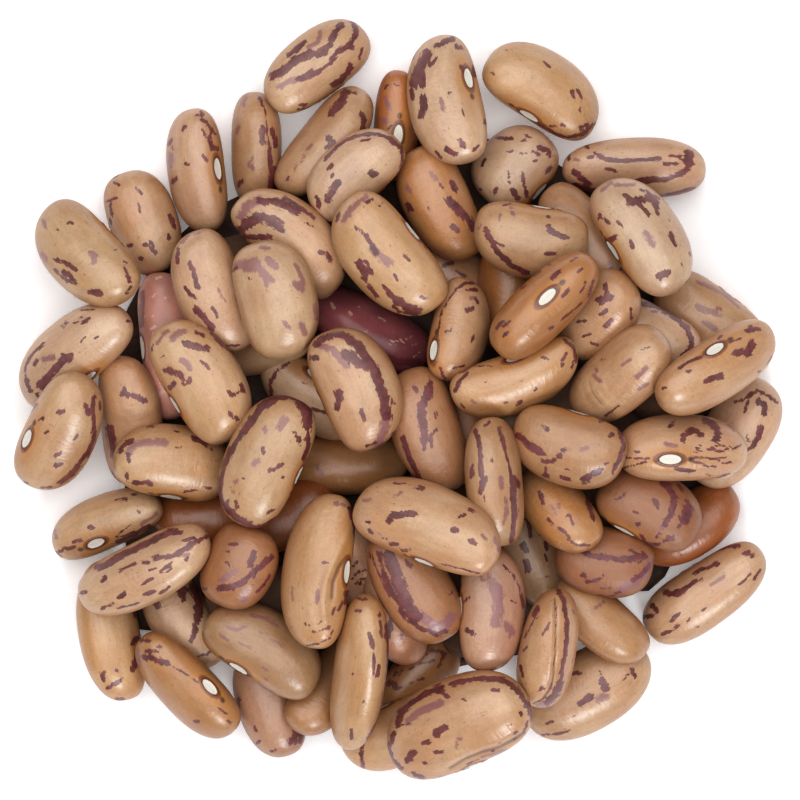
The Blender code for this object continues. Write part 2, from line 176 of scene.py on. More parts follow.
# height map of what lies there, and how one bean comes to lie on it
cell = layRules["cell"]
mapReach = layRules["reach"]
cellsAcross = int(2 * mapReach / cell)
topMap = np.zeros(cellsAcross * cellsAcross)
probePhi = np.linspace(0, np.pi, layRules["probeRings"])[:, None]
probeTheta = np.linspace(0, 2 * np.pi, layRules["probeSides"], endpoint=False)[None, :]


def cellsUnder(points):
    columns = np.floor((points[:, :2] + mapReach) / cell).astype(int)
    return columns[:, 1] * cellsAcross + columns[:, 0]


def setDown(x, y, heading, seenLong, broad, roll, bend, highest=mapReach):
    best = None
    for pitch in layRules["pitches"]:
        long = trueLength(seenLong, broad, pitch)
        shape = beanPoints(long, broad, bend, probePhi, probeTheta)
        for extra in layRules["rolls"]:
            probe = turned(shape, heading, pitch, roll + extra) + (x, y, 0)
            below = cellsUnder(probe)
            clash = np.sort(topMap[below] - probe[:, 2])
            crowded = clash[-int(layRules["biteShare"] * len(clash))]
            height = max(min(crowded, clash[-1] - layRules["leastBite"]),
                         clash[-1] - layRules["mostBite"],
                         layRules["floorGap"] - probe[:, 2].min())
            cost = height + layRules["tiltCost"] * (abs(pitch) + abs(extra) / 2)
            if best is None or cost < best[0]:
                pose = (heading, pitch, roll + extra)
                best = (cost, probe + (0, 0, height), below, (x, y, height), pose, long)
    cost, probe, below, centre, pose, long = best
    if probe[:, 2].min() > highest:
        return None
    np.maximum.at(topMap, below, probe[:, 2])
    return {"centre": np.array(centre), "pose": pose, "size": (long, broad, bend)}


def fillTheGround():
    rules = hiddenRules
    rng = np.random.default_rng(rules["seed"])
    steps = int(rules["reach"] / rules["spacing"])
    found = []
    for row in range(-steps, steps + 1):
        for column in range(-steps, steps + 1):
            x = rules["spacing"] * column
            y = rules["spacing"] * row
            size = rng.uniform(*rules["sizes"])
            heading = rng.uniform(0, rules["turnStep"])
            if np.hypot(x, y) > rules["reach"]:
                continue
            for turn in range(rules["turns"]):
                bean = setDown(x, y, heading + rules["turnStep"] * turn, rules["long"] * size,
                               rules["broad"] * size, 0, usualBend, rules["lift"])
                if bean:
                    found.append(bean)
                    break
    return found


def layAll(rows):
    beans = []
    for name, x, y, heading, long, broad, roll, bend, kind in rows:
        bean = setDown(x, y, heading, long, broad, roll, bend)
        bean["name"] = name
        bean["kind"] = kind
        beans.append(bean)
    return beans


shownBeans = layAll(lowBeans)
hiddenBeans = fillTheGround()
shownBeans += layAll(highBeans)
for seed, bean in enumerate(shownBeans + hiddenBeans):
    bean["seed"] = layRules["firstSeed"] + seed


def heapShift():  # the solid model's box is centred, so the beans move by the same amount
    phi = np.linspace(0, np.pi, layRules["facetRings"] + 2)[:, None]
    theta = np.linspace(0, 2 * np.pi, layRules["facetSides"], endpoint=False)[None, :]
    swell = 1 / np.sqrt(np.cos(np.pi / layRules["facetSides"]))
    corners = [turned(beanPoints(*bean["size"], phi, theta, swell), *bean["pose"]) + bean["centre"]
               for bean in shownBeans]
    corners = np.concatenate(corners)
    middle = (corners.min(axis=0) + corners.max(axis=0)) / 2
    return np.array([-middle[0], -middle[1], 0])


shift = heapShift()
print("beans laid:", len(shownBeans), "shown,", len(hiddenBeans), "hidden, shift", shift.round(3))

# marks that stand out on single beans, as strokes read off the picture: width, then the
# points it runs through, in picture dots; a width below zero is a faded mauve stroke
coatMarks = {
    "A1": ((-4, 45,220, 47,227), (3, 68,223, 75,223), (3, 56,230, 60,230), (-6, 92,253, 97,255, 96,262),
           (4, 56,259, 65,262, 72,266, 78,270), (5, 65,272, 72,275, 74,279), (4, 57,270, 68,280, 78,284),
           (7, 93,292, 102,293), (-5, 43,253, 48,259), (4, 130,276, 132,282), (3, 127,268, 129,273),
           (3, 126,262, 128,263), (3, 128,294, 133,287), (2, 115,250, 119,250), (3, 124,243, 126,246)),
    "A2": ((3, 115,182, 120,184), (3, 137,187, 143,193), (3, 139,203, 141,211), (3, 107,201, 118,197),
           (4, 111,205, 113,215), (3, 113,177, 119,174), (3, 111,218, 112,223),
           (5, 146,244, 152,246, 157,252), (4, 151,241, 155,246), (4, 129,245, 134,244),
           (4, 140,258, 143,258), (5, 171,215, 176,226), (4, 169,234, 170,238), (4, 171,266, 174,266)),
    "A3": ((3, 183,130, 186,126, 189,126), (4, 170,143, 173,138), (3, 173,145, 175,149),
           (-6, 171,153, 172,165), (4, 187,163, 189,164), (5, 174,181, 177,178), (3, 197,114, 203,115),
           (4, 203,119, 208,121), (3, 203,129, 205,130), (4, 206,133, 210,139),
           (4, 209,123, 213,130, 211,136), (3, 214,131, 217,134), (5, 212,142, 214,148, 219,148),
           (4, 205,155, 209,160), (3, 202,110, 205,113)),
    "A4": ((-5, 247,95, 245,104), (-4, 241,125, 238,132), (4, 261,97, 264,104),
           (2, 266,108, 269,130, 271,150), (6, 264,126, 263,142), (5, 274,128, 277,145),
           (5, 271,150, 272,165), (6, 275,168, 272,185), (8, 274,182, 275,188), (-4, 251,163, 255,168),
           (-3, 252,161, 254,157), (4, 240,185, 243,180)),
    "B1": ((9, 275,76, 285,70, 297,60, 312,53, 325,51), (7, 325,51, 332,42, 336,33, 343,23),
           (6, 291,54, 300,46, 306,41), (-5, 310,46, 320,41, 322,31),
           (6, 355,20, 358,28, 356,38, 349,45, 340,50, 335,58, 328,65, 320,71), (8, 320,71, 312,73, 302,78),
           (-7, 302,78, 292,80, 281,86), (5, 348,46, 355,46), (6, 353,65, 348,73, 343,80, 335,84),
           (3, 364,48, 361,58), (3, 301,104, 308,104), (2, 300,109, 320,104, 328,97)),
    "B2": ((9, 348,91, 342,103, 333,112), (6, 363,113, 366,120, 364,131), (7, 330,137, 336,143, 334,151),
           (4, 327,147, 333,145), (3, 333,154, 332,160), (-4, 313,144, 310,149), (-3, 306,155, 304,161),
           (-3, 298,162, 296,171), (3, 290,176, 289,180), (3, 353,91, 358,93)),
    "B3": ((-5, 387,97, 391,107), (3, 389,84, 387,87), (-5, 383,118, 388,121), (3, 396,83, 400,85),
           (3, 390,128, 398,122)),
    "B4": ((6, 438,45, 447,41, 455,38), (5, 459,46, 464,46), (12, 429,54, 421,68, 417,82),
           (5, 425,72, 425,86), (5, 413,90, 415,98), (7, 424,97, 426,106, 422,117), (4, 433,64, 439,57),
           (4, 418,50, 414,57), (4, 462,66, 465,70), (-5, 443,100, 445,109), (3, 450,92, 452,93),
           (3, 465,110, 467,117), (6, 462,141, 466,146), (6, 448,149, 457,154), (3, 475,151, 481,146),
           (3, 438,151, 443,158), (2, 486,118, 487,124), (4, 475,67, 477,75)),
    "B5": ((2, 508,49, 514,49), (3, 547,60, 552,66), (3, 574,90, 577,97), (3, 580,88, 585,99),
           (3, 583,106, 582,110), (3, 494,72, 496,73), (3, 553,125, 558,126), (4, 565,124, 567,125),
           (4, 557,133, 570,136, 585,133, 597,123), (4, 583,127, 590,124), (3, 536,119, 548,127, 560,133)),
    "B6": ((5, 598,153, 606,158, 620,160, 640,160, 662,158), (4, 667,163, 681,163), (10, 692,153, 692,161),
           (4, 684,156, 672,155), (6, 695,162, 686,172, 670,178, 640,180), (4, 656,197, 675,193, 698,187),
           (4, 608,168, 618,170), (4, 568,144, 580,139, 591,147), (4, 571,153, 571,158),
           (-4, 577,158, 581,160), (7, 577,172, 585,178, 591,183), (5, 577,184, 598,191),
           (4, 590,157, 595,156)),
    "B7": ((4, 327,160, 335,150, 348,140, 362,135, 378,134, 392,138, 403,148, 405,162, 400,178),
           (3, 364,141, 372,139), (3, 388,137, 395,144), (7, 373,173, 378,174), (5, 331,168, 334,165),
           (4, 333,177, 335,175), (8, 340,183, 335,190, 330,200), (5, 319,197, 321,206),
           (3, 385,190, 389,194)),
    "B8": ((-5, 433,173, 437,179), (3, 442,184, 445,187), (5, 454,182, 458,190),
           (9, 450,200, 460,210, 470,219, 475,226), (3, 430,208, 433,209), (5, 410,204, 414,210),
           (5, 455,226, 460,230), (-5, 409,186, 412,192)),
    "B9": ((4, 500,137, 515,138), (3, 528,134, 534,137), (3, 524,140, 529,140),
           (5, 542,147, 550,150, 552,156), (3, 510,151, 515,150), (3, 523,153, 529,153),
           (3, 536,161, 539,160), (3, 511,172, 511,183), (4, 525,173, 526,183, 530,196),
           (6, 515,190, 520,198), (4, 497,192, 499,188), (3, 482,188, 485,190), (4, 483,164, 487,158),
           (4, 549,172, 553,167), (3, 535,150, 541,154)),
    "B10": ((-4, 512,208, 515,216), (-3, 502,214, 501,222), (2, 503,207, 512,204),
            (6, 488,230, 492,240, 497,249, 505,258, 515,267, 530,273), (3, 490,238, 499,243, 505,246),
            (6, 550,227, 553,232, 562,236, 568,238), (3, 549,217, 552,217), (-3, 564,219, 568,219),
            (4, 548,254, 556,254), (-2, 480,230, 484,222)),
    "B11": ((-5, 612,263, 616,272), (3, 622,271, 626,266), (2, 588,232, 589,236)),
    "B12": ((4, 601,215, 606,220, 611,223), (3, 598,221, 603,216), (3, 619,222, 624,227),
            (8, 632,203, 642,200, 652,199, 658,201), (5, 640,204, 650,215), (5, 655,202, 660,214),
            (4, 625,195, 632,199), (3, 642,190, 652,193, 660,200), (-4, 618,185, 636,185),
            (-4, 603,191, 613,183), (4, 632,242, 634,248), (-7, 647,233, 651,240, 654,245),
            (8, 660,277, 668,273), (3, 671,236, 677,246), (4, 672,234, 676,238), (2, 669,218, 672,222),
            (2, 682,263, 684,268), (2, 690,252, 693,257), (2, 685,288, 690,280), (6, 609,242, 616,238)),
    "C2": ((-9, 243,216, 250,206, 262,200), (8, 262,201, 278,202, 290,207, 298,213),
           (4, 285,197, 300,206, 317,219), (11, 242,231, 251,222, 262,217, 275,221, 283,228),
           (6, 247,237, 262,237, 273,238), (3, 306,222, 315,227), (5, 322,252, 330,255, 332,261),
           (3, 346,268, 348,277), (3, 283,227, 286,232)),
    "C3": ((4, 180,249, 180,263), (-3, 183,243, 191,236), (5, 192,263, 197,275, 200,287),
           (4, 187,288, 192,293, 198,299), (7, 198,309, 205,316, 215,328), (4, 215,308, 220,317),
           (-4, 218,287, 222,292), (-3, 222,296, 228,301), (3, 224,346, 241,345), (-2, 196,235, 204,232)),
    "C4": ((-9, 240,266, 258,262, 262,271, 272,280), (-9, 248,268, 262,270), (-5, 268,276, 269,286),
           (3, 232,273, 239,268), (-4, 262,247, 271,249), (-7, 270,260, 278,267), (-2, 243,247, 252,244),
           (3, 248,279, 253,279), (-5, 298,265, 303,275, 306,285), (-7, 296,285, 305,290),
           (-4, 287,323, 293,329), (-6, 303,324, 307,334), (-4, 317,305, 319,319)),
    "C6": ((-6, 346,221, 352,212, 360,203, 368,197), (4, 341,214, 339,221), (3, 357,227, 359,231),
           (4, 362,229, 365,234), (6, 369,236, 374,246, 379,254), (-9, 376,250, 384,258, 392,264),
           (8, 361,264, 365,270, 367,278), (6, 362,268, 374,272), (4, 368,262, 371,269),
           (3, 397,275, 399,281), (5, 370,285, 379,296), (5, 386,286, 392,294, 400,300),
           (9, 399,301, 408,307, 419,311), (4, 396,306, 402,312), (4, 407,257, 411,260),
           (3, 423,297, 429,299), (3, 369,203, 375,199), (3, 382,207, 385,204), (3, 405,312, 420,316)),
    "C5": ((-3, 158,278, 162,276), (-3, 152,298, 157,294), (-3, 167,297, 173,296), (-2, 146,316, 147,315),
           (-2, 153,317, 155,316), (-3, 152,329, 157,326), (-3, 155,333, 154,336), (-2, 145,382, 149,381),
           (-4, 158,398, 162,393, 168,390), (-2, 160,383, 161,383), (-2, 173,413, 174,413),
           (-2, 143,305, 143,304), (5, 144,292, 143,308, 143,326), (4, 147,372, 152,392, 160,405)),
    "C7": ((-3, 334,306, 336,309), (-3, 351,312, 353,315), (-3, 381,318, 387,321), (-2, 416,357, 419,355),
           (-2, 370,331, 371,330), (-2, 360,307, 362,307), (8, 378,352, 400,362, 420,362),
           (-2, 392,340, 400,342), (-2, 402,339, 406,343), (-2, 408,339, 415,336), (-2, 390,344, 397,345),
           (-2, 382,318, 387,321), (-2, 351,311, 355,314), (-3, 333,303, 336,307), (-1.5, 366,330, 370,333),
           (-1.5, 413,346, 418,344), (-1.5, 420,352, 424,353)),
    "C8": ((7, 318,345, 327,338, 339,334, 351,338), (10, 351,339, 361,347, 369,358, 375,368),
           (12, 349,354, 358,362, 369,366), (10, 375,368, 382,384, 386,400, 388,416),
           (-10, 388,416, 386,430, 381,443), (-8, 321,345, 333,349, 343,358, 350,366),
           (5, 314,358, 320,358), (7, 340,392, 342,400, 339,408), (4, 338,392, 344,393),
           (3, 390,396, 396,405), (5, 363,410, 367,420), (3, 369,446, 378,442),
           (5, 385,447, 393,441, 398,432), (3, 391,404, 394,420)),
    "C9": ((4, 273,396, 272,382, 279,370, 291,363), (2, 304,383, 311,384), (4, 313,409, 325,412, 336,410)),
    "C10": ((2, 458,290, 450,300, 443,315, 440,330, 439,344), (3, 460,288, 466,284, 476,283),
            (4, 469,290, 478,290), (-4, 472,298, 476,298), (3, 477,298, 480,303), (5, 469,310, 475,309),
            (3, 448,332, 453,330), (3, 473,342, 476,336), (3, 442,368, 448,382), (2, 455,368, 466,366)),
    "C12": ((3, 504,327, 511,322), (3, 523,289, 526,287), (5, 553,279, 560,272), (4, 564,297, 569,290),
            (3, 582,293, 587,283), (3, 589,298, 593,286, 595,281), (2, 562,321, 574,311, 583,303),
            (3, 549,329, 554,327), (4, 498,328, 504,322), (2, 545,263, 552,266), (2, 572,262, 579,258),
            (3, 579,273, 583,270), (3, 536,276, 541,272), (3, 505,337, 509,332)),
    "C13": ((2, 462,373, 475,366, 494,366), (4, 457,391, 462,381, 469,373), (3, 563,366, 565,358, 568,353),
            (3, 573,368, 576,360), (4, 566,340, 575,348, 578,361), (2, 487,382, 489,379),
            (-3, 521,383, 524,380), (3, 536,391, 538,388), (3, 518,405, 524,401), (2, 506,403, 510,402),
            (-3, 473,400, 477,403), (3, 543,357, 549,359), (2, 463,404, 467,410)),
    "C14": ((8, 601,301, 612,298), (5, 607,286, 608,297), (4, 602,315, 608,311), (5, 607,326, 613,320),
            (3, 580,322, 587,321), (3, 584,337, 593,334), (3, 593,343, 599,345), (3, 632,309, 633,319)),
    "C15": ((6, 641,303, 654,305, 667,310, 679,318, 689,328, 694,339, 692,350, 684,356),
            (-3, 654,312, 659,311)),
    "C16": ((-4, 596,376, 602,382), (-3, 622,365, 632,360), (-5, 638,378, 647,368), (-5, 641,389, 647,383),
            (2, 641,350, 652,347), (3, 607,416, 620,406), (-3, 596,366, 598,371), (2, 602,360, 607,359)),
    "C17": ((-4, 700,281, 715,287, 730,296, 742,307), (-4, 700,305, 712,310, 723,308),
            (-4, 700,309, 715,313, 723,316), (-6, 706,322, 719,329)),
    "C18": ((9, 738,353, 748,352, 753,344), (7, 707,381, 715,378, 722,376), (5, 748,331, 760,329),
            (4, 750,326, 756,331), (2, 730,343, 742,338), (3, 719,339, 723,336),
            (3, 680,368, 690,362, 702,357), (3, 663,388, 667,388), (3, 688,372, 691,371),
            (3, 759,372, 761,371), (2, 768,365, 773,357)),
    "C19": ((5, 751,396, 757,393), (4, 748,412, 751,402), (7, 762,402, 768,405, 768,413),
            (3, 760,390, 768,394, 776,399), (3, 772,395, 781,403), (4, 738,402, 745,400),
            (6, 764,427, 762,436, 757,444), (3, 748,451, 757,446), (3, 749,435, 751,441)),
    "D1": ((8, 520,436, 530,443, 544,453), (4, 544,461, 556,460), (6, 561,456, 565,450),
           (-3, 569,450, 571,449), (-4, 583,449, 588,448), (5, 544,427, 549,429), (3, 547,467, 547,471),
           (5, 546,475, 549,476), (5, 562,477, 571,479), (3, 567,468, 570,469),
           (6, 584,479, 593,474, 602,469), (3, 584,484, 591,481), (4, 601,421, 606,419),
           (5, 621,430, 625,445, 620,460, 614,471), (3, 606,464, 609,462), (4, 611,435, 614,434)),
    "D2": ((5, 477,431, 481,445, 482,460, 483,474), (7, 486,478, 482,491), (4, 474,465, 473,476),
           (3, 494,457, 494,462), (3, 485,495, 487,501), (3, 486,426, 491,422),
           (4, 501,428, 505,445, 509,460, 513,477), (8, 514,478, 519,484), (7, 514,481, 515,500, 516,515),
           (5, 516,515, 514,530, 513,541), (-4, 506,497, 508,510, 505,523), (-5, 502,478, 503,487)),
    "D3": ((6, 684,440, 687,433, 695,430, 703,435), (7, 706,420, 716,425, 720,434, 717,440),
           (4, 671,426, 676,422), (-4, 667,444, 678,446), (5, 677,469, 684,470, 694,471),
           (3, 636,451, 640,452), (2, 625,457, 636,458, 650,458), (2, 621,469, 634,465, 648,462),
           (2.5, 692,452, 700,446, 708,444), (2.5, 692,455, 702,451, 714,449, 722,452),
           (2, 692,458, 704,457, 716,459, 728,457), (2.5, 692,460, 702,463, 712,468),
           (2.5, 712,449, 720,444, 727,446), (2.5, 718,459, 726,464, 733,462), (3, 735,449, 742,445),
           (2, 724,451, 732,447), (2.5, 707,474, 712,475), (3, 719,479, 731,474), (-3, 730,425, 736,431),
           (2.5, 714,466, 719,467)),
    "D5": ((5, 541,492, 545,503), (-2, 552,503, 558,515), (3, 568,516, 571,515, 575,526),
           (5, 589,499, 592,510, 595,519), (3, 550,519, 555,525), (3, 560,528, 567,532, 571,537),
           (3, 570,540, 580,545, 591,545), (-3, 560,504, 561,508)),
    "D6": ((7, 665,483, 672,488, 676,500, 673,513, 667,523), (-5, 667,523, 661,531), (12, 686,519, 690,510),
           (4, 679,528, 684,522), (6, 657,500, 659,506), (4, 636,512, 639,513), (4, 639,524, 643,523),
           (4, 670,536, 675,539), (3, 648,543, 658,545, 667,541, 675,536), (4, 643,535, 646,541),
           (3, 658,537, 664,531), (3, 618,500, 626,494), (3, 687,500, 690,501), (4, 680,484, 684,491)),
    "D7": ((7, 583,550, 592,555, 610,558, 630,559, 646,555), (5, 584,575, 587,576),
           (4, 588,582, 600,580, 605,575), (-8, 622,590, 636,583, 646,574, 652,562),
           (5, 634,580, 644,574, 651,566), (3, 631,550, 637,551), (3, 600,595, 610,597, 622,592),
           (2, 603,588, 612,588), (3, 640,563, 649,557)),
    "D9": ((3, 697,560, 710,555, 725,549, 743,545), (4, 697,560, 709,557), (4, 737,548, 742,547),
           (4, 697,575, 704,570, 712,568, 721,564), (4, 681,573, 690,569), (6, 668,593, 678,595, 688,590),
           (4, 688,590, 697,583, 705,580), (-4, 714,585, 720,582, 727,577), (5, 747,555, 752,553),
           (3, 755,558, 757,555), (3, 742,585, 748,581, 754,574), (3, 757,581, 763,571),
           (5, 655,606, 660,612), (5, 648,618, 654,617), (4, 677,618, 681,615), (3, 673,623, 678,620),
           (4, 666,635, 672,633), (3, 672,633, 682,626), (4, 691,622, 694,619), (4, 706,611, 709,609),
           (2, 697,629, 703,627)),
    "D10": ((5, 530,520, 533,530, 533,536), (4, 537,522, 543,534), (6, 526,545, 528,551),
            (4, 548,543, 550,550), (3, 547,555, 549,561), (6, 529,562, 531,571), (3, 549,577, 551,578)),
    "D11": ((-3, 595,610, 606,602),),
    "D12": ((5, 539,607, 536,616), (2, 536,618, 530,630, 527,637), (3, 544,634, 548,628, 551,622),
            (3, 525,650, 528,646), (3, 522,665, 525,676), (5, 541,690, 545,686),
            (5, 560,590, 566,603, 568,620, 568,640, 566,655, 563,668, 562,681),
            (8, 562,682, 558,692, 549,702), (-7, 549,702, 539,707),
            (1.5, 557,602, 558,620, 556,650, 554,675, 552,688, 545,698, 536,702), (2, 574,610, 576,613),
            (-2, 573,662, 575,658)),
    "D13": ((8, 583,704, 592,698), (8, 605,682, 609,691), (-8, 602,700, 609,696), (4, 603,672, 604,679),
            (3, 627,682, 629,675), (5, 635,670, 637,677), (3, 550,725, 555,722), (3, 567,722, 578,716),
            (3, 545,736, 560,735, 574,733), (5, 573,675, 583,674)),
    "E1": ((7, 400,725, 403,712, 415,701, 430,692, 443,687),
           (6, 454,683, 465,680, 480,678, 500,678, 510,682, 518,688, 525,697, 530,706, 533,717),
           (5, 441,690, 445,693, 449,695), (-8, 410,722, 420,712, 432,706, 443,702),
           (2, 400,726, 412,722, 417,717), (5, 396,733, 391,748, 394,758, 403,768), (8, 438,733, 446,726),
           (8, 412,755, 417,751), (6, 408,760, 413,757), (5, 425,742, 431,741), (4, 437,751, 445,751),
           (-4, 458,746, 459,738, 463,738), (5, 426,762, 428,762), (4, 465,698, 469,699),
           (4, 494,689, 500,689), (3, 522,711, 523,714), (3, 511,724, 514,723), (4, 517,732, 518,731),
           (3, 526,731, 528,722), (3, 500,743, 503,741), (3, 492,750, 497,749),
           (-4, 484,756, 500,751, 516,747), (2, 469,763, 481,758), (4, 415,773, 426,778),
           (-2, 440,776, 447,776), (2, 515,739, 519,736)),
    "E2": ((6, 372,634, 375,645), (4, 376,656, 376,673), (4, 381,665, 379,675), (3, 358,610, 363,610),
           (3, 382,620, 384,638), (3, 381,612, 382,615),
           (5, 388,625, 391,645, 391,670, 388,690, 385,710, 378,725, 370,738), (3, 334,668, 333,673),
           (4, 353,729, 354,738), (2, 352,673, 356,673), (3, 359,598, 368,599), (2, 364,702, 366,700)),
    "E3": ((4, 366,739, 363,752, 365,769),),
    "E4": ((3, 403,662, 405,659), (3, 411,657, 414,655), (3, 421,650, 424,648), (2, 418,656, 419,655),
           (3, 428,655, 429,654), (4, 433,651, 440,652, 447,655), (3, 421,665, 430,663, 437,661),
           (3, 411,671, 415,668), (3, 401,676, 404,671), (3, 396,677, 399,673), (8, 393,684, 396,686),
           (4, 420,681, 425,679), (3, 440,668, 442,665), (2, 408,664, 410,662), (2, 416,661, 418,660),
           (3, 399,667, 401,665), (3, 444,660, 446,658), (3, 412,684, 414,683), (3, 400,690, 404,688)),
    "E5": ((-12, 495,584, 500,595, 500,605, 497,622), (-4, 490,574, 497,586), (-4, 482,577, 486,580),
           (3, 505,565, 515,575, 522,590, 525,607), (3, 464,603, 470,597), (2, 512,600, 517,602),
           (5, 469,629, 475,633), (-9, 509,625, 513,632)),
    "E6": ((13, 391,553, 397,570, 404,590, 411,605, 418,616), (5, 380,553, 386,572, 394,592, 404,608),
           (5, 409,561, 413,566), (-11, 424,617, 436,624, 447,625, 453,616), (3, 372,552, 380,572, 392,596),
           (5, 402,610, 412,620, 424,628, 438,634, 448,630), (3, 452,594, 455,590)),
    "E7": ((2, 395,483, 408,483), (4, 417,487, 425,488), (-4, 396,496, 403,493),
           (7, 391,519, 396,514, 410,513, 417,513), (3, 460,516, 466,514), (5, 454,529, 459,529),
           (5, 471,540, 476,542), (-3, 483,534, 488,539), (-4, 496,537, 500,549), (3, 470,508, 476,511),
           (-3, 366,500, 374,499), (3, 368,521, 372,522), (3, 371,528, 374,533), (3, 385,538, 389,538),
           (3, 393,543, 401,543), (2, 440,562, 460,567, 480,572), (3, 404,550, 412,549)),
    "E8": ((6, 391,636, 392,622, 398,611), (-4, 403,640, 405,626), (-3, 409,636, 411,628)),
    "E9": ((2, 353,580, 360,573, 368,570, 374,573), (3, 357,584, 362,584), (2, 355,576, 358,573),
           (3, 361,580, 367,579), (2, 372,578, 375,575), (2, 362,570, 366,569), (2, 366,585, 370,583),
           (3, 355,566, 359,562), (2, 370,564, 374,561)),
    "E10": ((-4, 337,503, 346,505), (5, 352,508, 356,520, 358,533), (3, 325,562, 330,562),
            (-5, 320,590, 320,602), (-3, 295,585, 295,600), (4, 350,591, 347,603),
            (3, 314,631, 322,630, 332,626), (3, 334,613, 338,606), (3, 307,623, 311,624),
            (2, 320,624, 323,621), (2, 309,645, 320,643, 333,637), (3, 341,609, 345,601),
            (2, 333,634, 336,628)),
    "E11": ((-3, 265,667, 270,672), (-3, 267,678, 270,680), (-3, 262,686, 268,690, 276,692),
            (-4, 226,626, 238,630, 248,626), (-3, 221,634, 230,640), (-4, 254,615, 268,618, 280,626),
            (-3, 241,643, 254,648), (-3, 272,639, 286,646), (-3, 262,632, 270,634)),
    "E12": ((8, 291,701, 292,712), (7, 296,724, 299,735, 293,743), (-4, 287,745, 290,741),
            (4, 297,745, 303,738), (4, 256,728, 258,732), (4, 254,745, 258,750, 262,754),
            (3, 258,745, 261,742), (3, 272,753, 279,750), (4, 311,702, 309,720, 301,744),
            (4, 240,700, 238,712)),
    "E13": ((4, 143,641, 151,641), (3, 159,647, 163,647), (5, 147,652, 158,651),
            (7, 146,657, 158,660, 168,663), (2, 168,663, 180,670, 192,677, 199,683), (-5, 139,650, 141,666),
            (3, 196,722, 200,722), (4, 229,722, 232,723), (2, 220,708, 229,715)),
    "E14": ((5, 105,673, 104,681), (4, 108,689, 116,685, 123,680), (3, 117,671, 119,672),
            (5, 117,701, 123,700), (7, 136,604, 137,616), (5, 133,645, 138,639), (6, 138,655, 134,671)),
    "E15": ((7, 99,568, 107,566, 118,558, 130,552, 145,545, 160,538), (5, 160,538, 172,533, 183,532),
            (3, 170,530, 180,529), (5, 157,558, 170,556, 180,554), (6, 180,553, 190,547, 200,541),
            (4, 200,541, 213,534), (4, 186,540, 196,538), (-3, 181,556, 191,554),
            (3, 122,571, 130,567, 138,563), (5, 104,581, 108,577), (3, 145,562, 151,562),
            (3, 152,570, 158,568), (4, 163,572, 170,566, 175,561), (4, 169,572, 175,567),
            (4, 145,584, 150,580, 155,578), (4, 146,594, 157,591), (3, 162,593, 172,586),
            (5, 121,597, 127,594), (4, 83,593, 87,592), (3, 103,609, 115,604), (2, 119,608, 141,603),
            (3, 188,560, 190,558)),
    "E16": ((7, 222,588, 236,587, 248,580, 258,570, 273,557), (7, 253,565, 256,553),
            (-6, 222,580, 230,576, 238,570), (-5, 247,590, 246,600), (3, 258,592, 266,584, 272,575),
            (4, 232,544, 240,544), (3, 228,551, 231,551), (3, 229,562, 232,566), (3, 203,588, 209,589),
            (4, 196,541, 200,547)),
    "E17": ((7, 177,587, 185,590), (5, 180,592, 185,600), (9, 194,588, 199,602, 201,614),
            (6, 198,616, 197,630, 193,641), (3, 200,657, 208,655, 215,650), (8, 153,600, 159,606)),
    "F1": ((9, 246,432, 255,418, 265,406, 278,397, 292,394, 303,400), (11, 303,402, 309,412, 310,425),
           (5, 310,425, 310,445, 306,459), (6, 246,432, 236,447, 228,462, 223,480, 222,496),
           (5, 222,496, 229,508), (7, 229,508, 240,518, 252,524), (3, 252,527, 265,526, 279,517),
           (-9, 281,427, 287,420), (5, 296,432, 302,440), (3, 300,440, 303,445), (-4, 266,427, 269,433),
           (5, 265,448, 267,454), (-6, 256,464, 260,461), (5, 272,470, 278,468), (5, 280,466, 284,464),
           (-5, 237,482, 240,480), (-3, 234,487, 236,492), (3, 245,478, 248,480), (3, 230,500, 229,503),
           (4, 238,501, 240,507), (4, 270,513, 276,509), (2, 284,477, 287,477)),
    "F2": ((5, 122,452, 128,443, 134,440), (-8, 131,451, 138,445, 150,442, 167,442), (4, 130,454, 131,461),
           (4, 129,474, 129,479), (5, 136,483, 147,482, 153,484), (2, 186,492, 195,490, 203,491),
           (3, 207,488, 212,488), (5, 195,438, 204,441, 208,444), (3, 209,448, 214,449),
           (3, 178,447, 183,447), (2, 176,431, 181,431), (3, 149,427, 155,426), (3, 217,460, 221,460)),
    "F3": ((4, 117,500, 128,499), (3, 134,495, 138,494), (3, 139,511, 141,513), (4, 90,528, 94,527),
           (-4, 143,524, 150,520, 158,514), (2, 117,537, 125,530, 132,525), (5, 118,542, 135,534, 151,526),
           (-4, 55,531, 57,538), (4, 61,552, 66,549), (4, 67,550, 75,547), (4, 75,543, 82,541),
           (3, 55,552, 62,557)),
    "F4": ((4, 40,421, 45,418), (5, 96,397, 95,410, 96,425, 95,440, 90,452, 82,463, 72,475, 60,483),
           (6, 88,405, 91,414), (3, 102,402, 102,409), (5, 61,412, 66,412), (3, 47,433, 51,431),
           (2, 54,442, 59,441), (4, 76,439, 80,435), (4, 57,456, 64,453), (5, 58,465, 63,464),
           (3, 43,488, 52,487), (2, 25,482, 29,484), (3, 33,411, 38,404), (3, 25,451, 28,444)),
    "F5": ((4, 64,327, 69,322), (3, 75,324, 84,317), (4, 84,323, 92,318), (2, 83,310, 96,309),
           (3, 46,343, 33,354, 26,368, 27,384), (5, 27,380, 31,391), (3, 37,393, 42,401),
           (-7, 46,360, 54,357), (4, 36,365, 38,361), (8, 41,385, 50,376, 57,368, 65,361, 72,357),
           (4, 63,354, 69,357), (8, 46,391, 50,380), (3, 83,342, 88,337), (3, 98,338, 100,337),
           (3, 129,321, 136,322)),
    "F6": ((9, 111,428, 113,440, 115,455), (5, 115,455, 118,468), (5, 105,465, 112,478, 123,487),
           (6, 125,394, 137,396, 147,401), (4, 126,388, 124,393)),
    "F7": ((7, 187,344, 198,346, 210,350), (-8, 175,338, 180,334, 186,332), (-4, 160,343, 165,335, 170,331),
